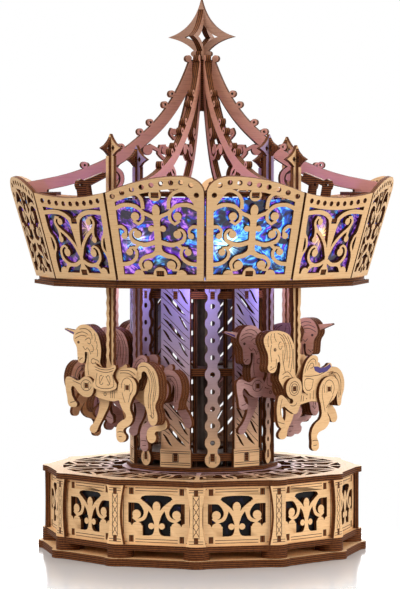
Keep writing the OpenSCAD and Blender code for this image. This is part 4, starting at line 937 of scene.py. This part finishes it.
UNICORN_LINES = [
    ring(-21.4, 49.6, 0.75, 0.55), dot(-21.4, 49.6, 0.7), dot(-21.6, 41.4, 0.5),
    dot(-20.4, 40.5, 0.35), [(-20.6, 40.2), (-19.4, 41.4), (-18.4, 41.6)],
    [(-24, 51.4), (-21.6, 52.6), (-18.4, 53.4), (-15.4, 52.8)],
    [(-23.6, 53.6), (-20.8, 54.8), (-17.4, 55.2), (-14.4, 54)],
    [(-20.6, 56.4), (-17.4, 57), (-13.8, 56.4), (-11.6, 54.4)],
    [(-16.4, 50.8), (-13.6, 52.8), (-11.8, 50.6), (-13, 48.4), (-14.6, 49.6)],
    [(-18, 47.6), (-16.2, 45.2), (-15.2, 47.2), (-13.4, 46.2), (-12, 43.6)],
    [(-11.6, 48.8), (-9.8, 47.2), (-10.6, 44.6), (-12.2, 45.2)],
    [(-9.6, 54.6), (-8.2, 52.2), (-9.2, 50.4)], [(-8.2, 50.6), (-6.8, 48.6), (-8, 46.6)],
    [(-7.6, 46.6), (-6.4, 44.6), (-7.6, 42.6)], [(-12.6, 55.6), (-10.6, 53.2), (-11.4, 51.4)],
    [(-14.4, 44.6), (-14, 40.6), (-14.6, 36.6), (-13.8, 33)], ring(-10.2, 40.2, 1.7, 1.4, 30, 320),
    [(-8.6, 41), (-7, 41.2), (-6, 39.8)], [(9.4, 36.2), (13.4, 36.8), (17.6, 36.4), (20.6, 34.6)],
    [(9.4, 35), (13, 35.4), (16.6, 35), (19.2, 33.4)],
    [(23.4, 38.6), (26.6, 39.8), (30.6, 38), (33.6, 33.6), (34.4, 28), (32.6, 21), (33.8, 15)],
    [(29.6, 37.6), (32.2, 34.2), (32.9, 29), (30.8, 23), (31.6, 17.6), (32.6, 13)],
    [(28.4, 35.4), (30.8, 32.6), (31, 27.4), (29.4, 23), (30.2, 18)],
    [(33, 37), (35.4, 32), (35.4, 26), (33.8, 21.6)],
    [(31, 14.8), (33, 12.6), (34.4, 14.6), (33, 16)], ring(-1.6, 23.6, 0.9, 0.8),
    [(2.6, 21.8), (2.6, 25.2)], [(3.9, 21.8), (3.9, 25.6)], [(5.2, 21.8), (5.2, 25.8)],
]
UNICORN_RINGS = [ring(-13.6, 27.7, 3.9, 2.9, 20, 330), ring(16.6, 28.4, 4.2, 4.6, -60, 250)]
UNICORN_LEGS = [
    [(-17.4, 27.9), (-20.4, 28.8), (-23.6, 29.6)], [(13, 25.4), (13.8, 22.4), (15.2, 20.2)],
    [(19, 25.6), (18.2, 22.6), (17.6, 20.6)], [(-25.6, 18.2), (-23.4, 18.4), (-21.8, 19.2)],
    [(9.6, 4.8), (11.6, 5.6), (13.8, 5)], [(10.6, 2.6), (12.6, 2.8)],
]
UNICORN_SADDLE = [
    [(-7.2, 37.6), (-3.6, 36.6), (0.2, 36.2), (4.2, 36.6), (7.2, 37.6)],
    [(-6.6, 36.2), (-3.4, 35.3), (0.2, 34.9), (3.8, 35.3), (6.6, 36.2)],
    [(-5.4, 34.4), (-7.2, 28.4), (-4.4, 26.9), (0.2, 26.5), (5, 27), (7.8, 28.6), (5.6, 34.4)],
    ring(-2.3, 31, 1.5, 2.5, 60, 270), ring(2.7, 31, 1.5, 2.5, -120, 270),
    [(-3.6, 29), (-0.6, 33.2)], [(4, 29), (1, 33.2)],
]
PONY_LINES = [
    ring(-18.8, 53, 0.9, 0.7), dot(-18.8, 53, 0.8), dot(-21.8, 44.4, 0.55),
    [(-22.6, 42.8), (-20.6, 43.2), (-19.4, 44)], ring(-14.8, 55, 1.3, 1.9, 60, 300),
    [(-21.4, 55.6), (-22.6, 52.6), (-21.8, 49.4), (-21.4, 46.8)],
    [(-16.6, 50.4), (-14.6, 48.4), (-15.4, 45.6)], [(-18, 48.4), (-17.6, 46), (-18.4, 43.8)],
    [(-23.6, 60.4), (-24.8, 57.4), (-23.6, 54.6)], [(-21.6, 61.2), (-22.6, 58.4), (-21.2, 56.2)],
    [(-19.4, 61.6), (-19.6, 59), (-17.8, 57.2)],
    [(-16.8, 61.4), (-13.2, 60.4), (-11, 56.6), (-9.4, 52), (-9.8, 47)],
    [(-14.8, 59.4), (-12, 57), (-11, 53), (-11.6, 49), (-12.6, 45.4)],
    [(-12.6, 60.8), (-9, 57.6), (-7.4, 53), (-7.6, 48), (-8.6, 43.4)],
    [(-9.4, 59.6), (-6.4, 55.4), (-5.4, 50), (-6, 45), (-7.2, 41)],
    [(-12.8, 52.6), (-13.2, 48.6), (-12.4, 44.6), (-11, 41)], [(-5, 53), (-4.6, 47.6), (-5, 42.6)],
    [(-13.2, 40), (-10.4, 41.8), (-7.4, 40.6), (-5.6, 38.2)],
    [(-13, 38), (-10.4, 39.8), (-8, 38.8)],
    [(24, 38.6), (27.4, 39.8), (31, 37.4), (32.6, 32.6), (31.6, 27)],
    [(26.4, 37.8), (30, 35.6), (31, 31), (30.4, 26)], dot(5.6, 28.8, 0.45), dot(5.2, 26.8, 0.45),
    [(0.8, 25.4), (1.6, 28.8)], [(2.6, 25.6), (3, 28.4)], [(8, 26.2), (8, 29.6)],
    [(10.4, 26.2), (10.8, 30.8)],
]
PONY_RINGS = [
    ring(-6.3, 32.7, 3.9, 3.7), ring(-6.3, 32.7, 2.6, 2.5), ring(20.6, 31.4, 4, 4.4, -50, 260)]
PONY_LEGS = [
    [(-9.4, 24.2), (-5.6, 23), (-4.4, 25.4)], [(-15.6, 27.8), (-17.2, 24.4), (-17, 19.6)],
    [(16, 33.8), (14.6, 29.4), (16.2, 24), (17.4, 19.4)], [(23.6, 27.6), (21, 24), (18.2, 21.2)],
    [(-18.6, 16.4), (-16.4, 15.4), (-14, 15.2)], [(7.6, 4.8), (9.6, 5.4), (11.6, 4.8)],
    [(8.4, 2.4), (11.2, 2.6)],
]
PONY_SADDLE = [
    [(1.6, 40.4), (2.8, 43.4), (5.2, 46.4), (8.2, 47.6), (10.4, 46.4), (10.2, 44.2)],
    [(3.4, 41.6), (4.8, 44), (7, 45.4), (8.6, 44.6), (8, 42.4), (5.8, 42.6)],
    [(1.2, 38.8), (5, 38.2), (9.4, 38.6), (13, 38.6), (18.6, 40.6)],
    [(8.2, 36.6), (7.6, 32), (4.6, 30.8), (1.9, 32), (1.3, 35.4), (2, 37.2), (5, 37.4),
        (8.2, 36.6)],
]
SEAT = [
    (8.4, 43.3), (11.4, 43.2), (14, 42.3), (17.8, 42.7), (21.2, 44.2), (22, 42.5), (18.8, 40.3),
    (13, 39.6), (9.4, 41)]
LINING = [(-15.4, 1.2), (15.4, 1.2), (15.4, 28.8), (-15.4, 28.8)]
HORN_TIP = [(-26.4, 53.2), (-33.7, 55.7), (-33.6, 56.1), (-26.4, 54.3)]
HORSE_LINES = {
    True: (UNICORN_LINES, UNICORN_RINGS, UNICORN_LEGS, UNICORN_SADDLE, UNICORN["pegs"]),
    False: (PONY_LINES, PONY_RINGS, PONY_LEGS, PONY_SADDLE, PONY["pegs"])}

CHAIN_LINES = peg_marks(0, 4) + peg_marks(0, COLUMN_PEG)

TWIST_LINES = (
    [[(-6.6, v + 15.4), (-3, v + 12.4), (0.4, v + 9.2), (3.8, v + 5.8), (7.8, v + 2.6)]
        for v in (10 + 13.6 * i for i in range(6))]
    + [[(-7.9, v + 24.6), (-4, v + 21.4), (-1, v + 18.4), (1.8, v + 15.9), (5, v + 12.8),
        (7.9, v + 10.4)] for v in (10 + 13.6 * i for i in range(5))]
    + [[(-7.9, 20.6), (-6, 18.8), (-3, 17)]] + [[(-8.2, v), (8.2, v)] for v in (1.3, 2.3, 7.3, 8.3)]
    + box_line(0, 4.8, 1.6, 1.9) + peg_marks(0, COLUMN_PEG))

# Each film by its angle about the mast: hue, brightness of its painted glow and warmth of its
# painted glint, then the place of that glint on the sheet in mm and its strength
FILMS = {
    -162: (0.6, 0.6, 0.0, -4, 4, 0.3), -132: (0.3, 0.5, 1.0, -7, 6, 0.4),
    -102: (0.28, 0.95, 0.1, 12, 8, 0.5), -72: (0.9, 1.0, 0.0, 12.5, 5.5, 1.2),
    -42: (0.3, 0.5, 1.0, -5, 3, 0.8), -12: (0.7, 0.6, 0.0, 4, 4, 0.3),
    18: (0.3, 0.6, 0.3, -8, 2, 0.5), 48: (0.5, 0.5, 1.0, 3, 4, 0.5),
    78: (0.8, 0.9, 0.0, 10, 6, 0.8), 108: (0.3, 0.9, 0.2, -10, 4, 0.5),
    138: (0.4, 0.5, 1.0, 4, 6, 0.5), 168: (0.85, 0.7, 0.0, 9, 5, 0.7)}

# CAD nodes by finish
ROUNDED = (
    "base_panels", "deck_plate", "chain_columns", "twist_columns", "crest_panels", "low_panels",
    "roof_ribs", "base_pilasters", "foot_plates", "base_floor", "canopy_floor")
DARK_SHEETS = ("drum_frame", "canopy_rim", "plinth_spacers", "crest_shelves", "axle_shelves")
DARK_BLOCKS = (
    "base_ribs", "mast_foot", "crown_gear", "drive_gear", "drum_bush", "crank_bearings", "roof_hub",
    "panel_blocks", "drive_pinion")
NUMBERS = (1, 2, 3, 4)
POLES = tuple(f"{side}_pole_{k}" for side in HORSE_PLACES for k in NUMBERS)


def is_unicorn(side, k):
    """Unicorns ride on the outer pin of the even cranks and the inner pin of the odd ones."""
    return (k % 2 == 0) == (side == "outer")


def horse_place(side, k):
    """Distance from the mast, height and turn of a horse: unicorns are up and ponies down."""
    height = HORSE_FOOT + (THROW if is_unicorn(side, k) else -THROW)
    return HORSE_PLACES[side], height, CRANK_TURN + 90 * (k - 1)


class CAROUSEL_OT_plywood(bpy.types.Operator):
    """Cut, round and finish the plywood sheets, horses and poles, with painted shade on the inner
    horses and poles and painted light on the columns, deck, ribs and inner poles
    """
    bl_idname = "carousel.plywood"
    bl_label = "Finish the plywood"

    def execute(self, context):
        look = context.scene.carousel_plywood
        share = look.rounding
        face = wood_face("birch_face", look.face_light, look.face_dark)
        edge = wood_edge("burnt_edge", look.edge_dark, look.edge_light)
        # Painted shade: a darker, pinker copy of the birch face for the inner horses and the inner
        # poles
        painted_shade_face = wood_face("shaded_face", srgb(196, 152, 148), srgb(156, 112, 110))
        dark_face = wood_face("dark_face", srgb(112, 74, 50), srgb(76, 46, 30))
        # Painted light of the violet lamps: lavender, strongest on the upper part of the columns and
        # of the inner poles
        painted_lavender_light = srgb(150, 150, 204)
        column_face_painted_light = tinted(face, "column_face_painted_light", "Z", 134, 40, painted_lavender_light, 0.85)
        # Painted blue-violet light of the deck lamps, strongest on the deck near the mast
        deck_face_painted_light = tinted(face, "deck_face_painted_light", "R", 38, 66, srgb(170, 150, 224), 0.4)
        shaded_pole = tinted(painted_shade_face, "shaded_pole_face", "Z", 150, 60, painted_lavender_light, 0.5)
        # The ribs' wood is a darker, pinker copy of the birch face; painted pink light on it is
        # strongest at the lower end of the ribs
        rib_wood = wood_face("rib_wood", srgb(200, 148, 124), srgb(160, 110, 90))
        rib_face_painted_light = tinted(rib_wood, "rib_face_painted_light", "Z", 190, 244, srgb(220, 148, 150), 0.6)
        star_face = wood_face("star_face", srgb(176, 132, 108), srgb(140, 98, 78))
        faces = {
            "chain_columns": column_face_painted_light, "twist_columns": column_face_painted_light, "deck_plate": deck_face_painted_light,
            "roof_ribs": rib_face_painted_light}
        for node in ROUNDED:
            plywood_piece(node, [faces.get(node, face), edge], rounding=share)
        for node in DARK_SHEETS:
            plywood_piece(node, [dark_face, edge])
        turn = math.radians(CANOPY_TURN + 70)
        first, second = (-math.sin(turn), math.cos(turn), 0), (math.cos(turn), math.sin(turn), 0)
        plywood_piece("roof_star", [star_face, edge], crossing=((0, 0, 0), first, second, PLATE),
            rounding=share, flat_sheets=False)
        # Outer poles get the birch face; inner poles get the painted shade face with painted lavender
        # light towards the top
        for node in POLES:
            pole = face if node.startswith("outer") else shaded_pole
            plywood_piece(node, [pole, edge], rounding=share, flat_sheets=False)
        # Outer horses get the birch face, inner horses the painted shade face
        for shape in (UNICORN, PONY):
            master = layered_horse(shape)
            for side in HORSE_PLACES:
                for k in NUMBERS:
                    if is_unicorn(side, k) == (shape is UNICORN):
                        self.horse(master, side, k, [face if side == "outer" else painted_shade_face, edge])
            select_only(master)
            bpy.ops.object.delete()
        for node in DARK_BLOCKS:
            plywood_piece(node, [dark_face, edge])
        return {"FINISHED"}

    def horse(self, master, side, k, materials):
        """A copy of the horse at its place on crank k."""
        node = f"{side}_horse_{k}"
        piece = duplicate(master)
        piece.name = node + "_finished"
        finish_sheets(piece, materials)
        out, up, turn = horse_place(side, k)
        piece.location = about_mast(out, turn, up)
        piece.rotation_euler = (0, 0, math.radians(turn))
        select_only(piece)
        bpy.ops.object.transform_apply(location=True, rotation=True, scale=True)
        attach(piece, BODY_OF[node])
        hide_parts(node)


class CAROUSEL_OT_engraving(bpy.types.Operator):
    """Engrave the base, the pilasters, the columns and the horses, and paint seats and horn tips"""
    bl_idname = "carousel.engraving"
    bl_label = "Engrave the lines"

    def execute(self, context):
        look = context.scene.carousel_plywood
        width = look.line_width
        burnt = burnt_line("engraved_line", look.engraving)
        panels, pilasters = (PANEL_FACE, PANEL_FOOT), (PILASTER_FACE, PANEL_FOOT)
        columns = (COLUMN_FACE, COLUMN_FOOT)
        for name, strokes, body, place, first, count in (
                ("base_panel_lines", PANEL_LINES, "base", panels, BASE_TURN + 15, BASE_SIDES),
                ("pilaster_lines", PILASTER_LINES, "base", pilasters, BASE_TURN, BASE_SIDES),
                ("chain_column_lines", CHAIN_LINES, "carousel", columns, DRUM_TURN, DRUM_SIDES),
                ("twist_column_lines", TWIST_LINES, "carousel", columns, DRUM_TURN + 30, DRUM_SIDES)):
            engraved(name, strokes, width, burnt, body, round_mast(place, first, count))

        violet = plastic("violet_paint", srgb(64, 40, 116), 0.45)
        for side in HORSE_PLACES:
            for k in NUMBERS:
                self.horse(side, k, width, burnt, violet)
        return {"FINISHED"}

    def horse(self, side, k, width, burnt, violet):
        """The lines of one horse: on its body, on its legs and saddle, and on the back of both."""
        lines, rings, legs, saddle, pegs = HORSE_LINES[is_unicorn(side, k)]
        raised = saddle + rings + [mark for u, v in pegs for mark in peg_marks(u, v)]
        far, height, turn = horse_place(side, k)
        body = f"{side}_rider_{k}"
        front, back = (far, height, turn), (-far, height, turn + 180)
        for name, strokes, depth, (out, up, way) in (
                ("body_lines", lines, HALF_BODY, front),
                ("leg_lines", raised + legs, HALF_HORSE, front),
                ("back_body_lines", flipped(lines), HALF_BODY, back),
                ("back_leg_lines", flipped(raised), HALF_HORSE, back)):
            places = [(depth + out, up, way)]
            engraved(f"{body}_{name}", strokes, width, burnt, body, places)
        name, outline, depth = ("horn_tip", HORN_TIP, 1) if is_unicorn(side, k) else (
            "seat", SEAT, HALF_HORSE)
        patch(f"{body}_{name}", outline, violet, body, [(far + depth, height, turn)])


class CAROUSEL_OT_metal(bpy.types.Operator):
    """Finish the metal and plastic parts"""
    bl_idname = "carousel.metal"
    bl_label = "Finish the metal and plastic"

    def execute(self, context):
        brass = metal("brass", srgb(206, 164, 92), 0.32, (1, 1, 12))
        steel = metal("steel", srgb(190, 190, 194), 0.3, (12, 12, 1))
        for node in (
                "movement_bedplate", "movement_brackets", "spring_barrel", "music_cylinder",
                "winding_key"):
            dress(node, brass)
        dress("centre_mast", metal("blackened_steel", srgb(96, 84, 78), 0.42, (12, 12, 1)))
        cranks = [f"crankshaft_{k}" for k in NUMBERS]
        for node in ("movement_comb", "movement_screws", "governor_fly", *cranks):
            dress(node, steel)
        dress("battery_box", plastic("white_shell", srgb(232, 232, 228), 0.45))
        dress("light_switch", plastic("black_shell", srgb(28, 28, 30), 0.5))
        dress("light_ring", lit_strip("lit_strip"))
        return {"FINISHED"}


class CAROUSEL_OT_lights(bpy.types.Operator):
    """Line the base with dark film, paint light on the films as emission and light the inside of the
    carousel
    """
    bl_idname = "carousel.lights"
    bl_label = "Switch the lights on"

    def execute(self, context):
        look = context.scene.carousel_lights
        film = lit_film("lit_film", look.film_glow)
        films = plywood_piece("colour_films", [film, film])
        solids = solids_of(films.data)
        _, areas, centres = face_arrays(films.data)
        light, flare = np.zeros((len(solids), 3)), np.zeros((len(solids), 3))
        for number in range(solids.max() + 1):
            own = solids == number
            middle = (centres[own] * areas[own][:, None]).sum(0)
            turn = math.degrees(math.atan2(middle[1], middle[0]))
            nearest = min(FILMS, key=lambda angle: abs((turn - angle + 180) % 360 - 180))
            values = FILMS[nearest]
            light[own] = values[:3]
            flare[own] = (values[3] * MM, values[4] * MM, values[5])
        for name, table in (("light", light), ("flare", flare)):
            layer = films.data.attributes.new(name, "FLOAT_VECTOR", "FACE")
            layer.data.foreach_set("vector", table.astype(np.float32).ravel())
        places = round_mast((PANEL_BACK, PANEL_FOOT), BASE_TURN + 15, BASE_SIDES)
        patch("base_lining", LINING, dark_film("dark_film"), "base", places, 0.3)
        for i, (out, up, turn) in enumerate(round_mast(CANOPY_LAMPS, CANOPY_TURN + 45, 4)):
            place = about_mast(out, turn, up)
            self.lamp(f"canopy_light_{i}", place, look.violet, look.violet_power)
        for i, (out, up, turn) in enumerate(round_mast(DECK_LAMPS, DRUM_TURN - 15, DRUM_SIDES)):
            place = about_mast(out, turn, up)
            self.lamp(f"deck_light_{i}", place, look.blue, look.blue_power)
        return {"FINISHED"}

    def lamp(self, name, place, colour, power):
        """A small round lamp inside the object."""
        data = bpy.data.lights.new(name, "POINT")
        data.energy, data.color, data.shadow_soft_size = power, colour, 0.004
        into_scene(name, data, place).visible_camera = False


class CAROUSEL_OT_stage(bpy.types.Operator):
    """Set up the table, the background, the lamps and the camera"""
    bl_idname = "carousel.stage"
    bl_label = "Set the stage"

    def execute(self, context):
        look = context.scene.carousel_stage
        self.world(context.scene, look.ambient)
        self.table()
        aim = Vector((-0.001, 0, look.aim_height))
        power, low = look.key_power, Vector((0, 0, 0.05))
        self.area("key_light", (-1.0, -0.85, 0.9), 0.9, power, (1, 0.97, 0.93), aim)
        self.area("fill_light", (1.15, -0.65, 0.32), 0.8, power * 0.9, (1, 0.95, 0.88), aim)
        self.area("top_light", (0, 0.1, 1.2), 0.7, power, (1, 1, 1), aim)
        self.area("back_light", (0.15, 1.2, 0.5), 0.9, power, (1, 1, 1), low)
        data = bpy.data.cameras.new("camera")
        data.lens, data.sensor_width = look.lens, 36
        far, turn = look.distance, look.azimuth
        place = (far * math.sin(turn), -far * math.cos(turn), look.camera_height)
        context.scene.camera = into_scene("camera", data, place, aim)
        context.scene.view_settings.view_transform = "Standard"
        return {"FINISHED"}

    def area(self, name, place, size, power, colour, aim):
        """A large soft lamp turned to the object."""
        data = bpy.data.lights.new(name, "AREA")
        data.energy, data.color, data.size = power, colour, size
        into_scene(name, data, place, aim)

    def world(self, scene, ambient):
        """White behind the object, and an even pale light from all round."""
        world = bpy.data.worlds.new("room")
        scene.world = world
        world.use_nodes = True
        tree = world.node_tree
        tree.nodes.clear()
        rays = add_node(tree, "ShaderNodeLightPath").outputs
        seen_ray = compute(tree, "MAXIMUM", rays["Is Camera Ray"], rays["Is Glossy Ray"])
        seen = add_node(tree, "ShaderNodeBackground", {"Color": (1, 1, 1, 1), "Strength": 1.0})
        even = add_node(
            tree, "ShaderNodeBackground", {"Color": (0.94, 0.96, 1, 1), "Strength": ambient})
        share = compute(tree, "MAXIMUM", seen_ray, rays["Is Transmission Ray"])
        mix = add_node(
            tree, "ShaderNodeMixShader", {0: share, 1: even.outputs[0], 2: seen.outputs[0]})
        add_node(tree, "ShaderNodeOutputWorld", {"Surface": mix.outputs[0]})

    def table(self):
        """White glossy table that fades into the background away from the object."""
        bpy.ops.object.select_all(action="DESELECT")
        bpy.ops.mesh.primitive_circle_add(
            vertices=96, radius=1.2, fill_type="NGON", location=(0, 0, 0))
        floor = bpy.context.active_object
        floor.name = "table"
        material, tree, shader = empty_material("white_table")
        place = object_place(tree)
        away = vector(tree, "LENGTH", mapped(tree, place, (1.2, 0.9, 1), (0, 0.03, 0)))
        cloudy = noise(tree, place, 6.0, 2)
        white = ramp(tree, cloudy, [(0.3, srgb(226, 225, 223)), (0.7, srgb(236, 235, 233))])
        set_inputs(shader, {"Base Color": white, "Roughness": 0.16, "Specular IOR Level": 0.5})
        fade = remap(tree, away, (0.105, 0.165), (0.0, 1.0), "SMOOTHSTEP")
        clear = add_node(tree, "ShaderNodeBsdfTransparent").outputs[0]
        mix = add_node(tree, "ShaderNodeMixShader", {0: fade, 1: shader.outputs[0], 2: clear})
        output = next(node for node in tree.nodes if node.type == "OUTPUT_MATERIAL")
        set_inputs(output, {"Surface": mix.outputs[0]})
        floor.data.materials.append(material)


class CAROUSEL_PT_panel(bpy.types.Panel):
    """The settings and buttons of the carousel music box"""
    bl_idname = "CAROUSEL_PT_panel"
    bl_label = "Carousel music box"
    bl_space_type = "VIEW_3D"
    bl_region_type = "UI"
    bl_category = "Carousel"

    def draw(self, context):
        for title, group, operators in (
                ("Plywood", "carousel_plywood", ("carousel.plywood", "carousel.engraving")),
                ("Metal and lights", "carousel_lights", ("carousel.metal", "carousel.lights")),
                ("Stage", "carousel_stage", ("carousel.stage",))):
            box = self.layout.box()
            box.label(text=title)
            settings = getattr(context.scene, group)
            for name in settings.__annotations__:
                box.prop(settings, name)
            for operator in operators:
                box.operator(operator)


CLASSES = (
    PlywoodSettings, LightSettings, StageSettings, CAROUSEL_OT_plywood, CAROUSEL_OT_engraving,
    CAROUSEL_OT_metal, CAROUSEL_OT_lights, CAROUSEL_OT_stage, CAROUSEL_PT_panel)


def register():
    for cls in CLASSES:
        bpy.utils.register_class(cls)
    bpy.types.Scene.carousel_plywood = bpy.props.PointerProperty(type=PlywoodSettings)
    bpy.types.Scene.carousel_lights = bpy.props.PointerProperty(type=LightSettings)
    bpy.types.Scene.carousel_stage = bpy.props.PointerProperty(type=StageSettings)


def unregister():
    for group in ("carousel_plywood", "carousel_lights", "carousel_stage"):
        delattr(bpy.types.Scene, group)
    for cls in reversed(CLASSES):
        bpy.utils.unregister_class(cls)


def main():
    register()
    bpy.ops.carousel.plywood()
    bpy.ops.carousel.engraving()
    bpy.ops.carousel.metal()
    bpy.ops.carousel.lights()
    bpy.ops.carousel.stage()
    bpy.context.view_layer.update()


if __name__ == "__main__":
    main()
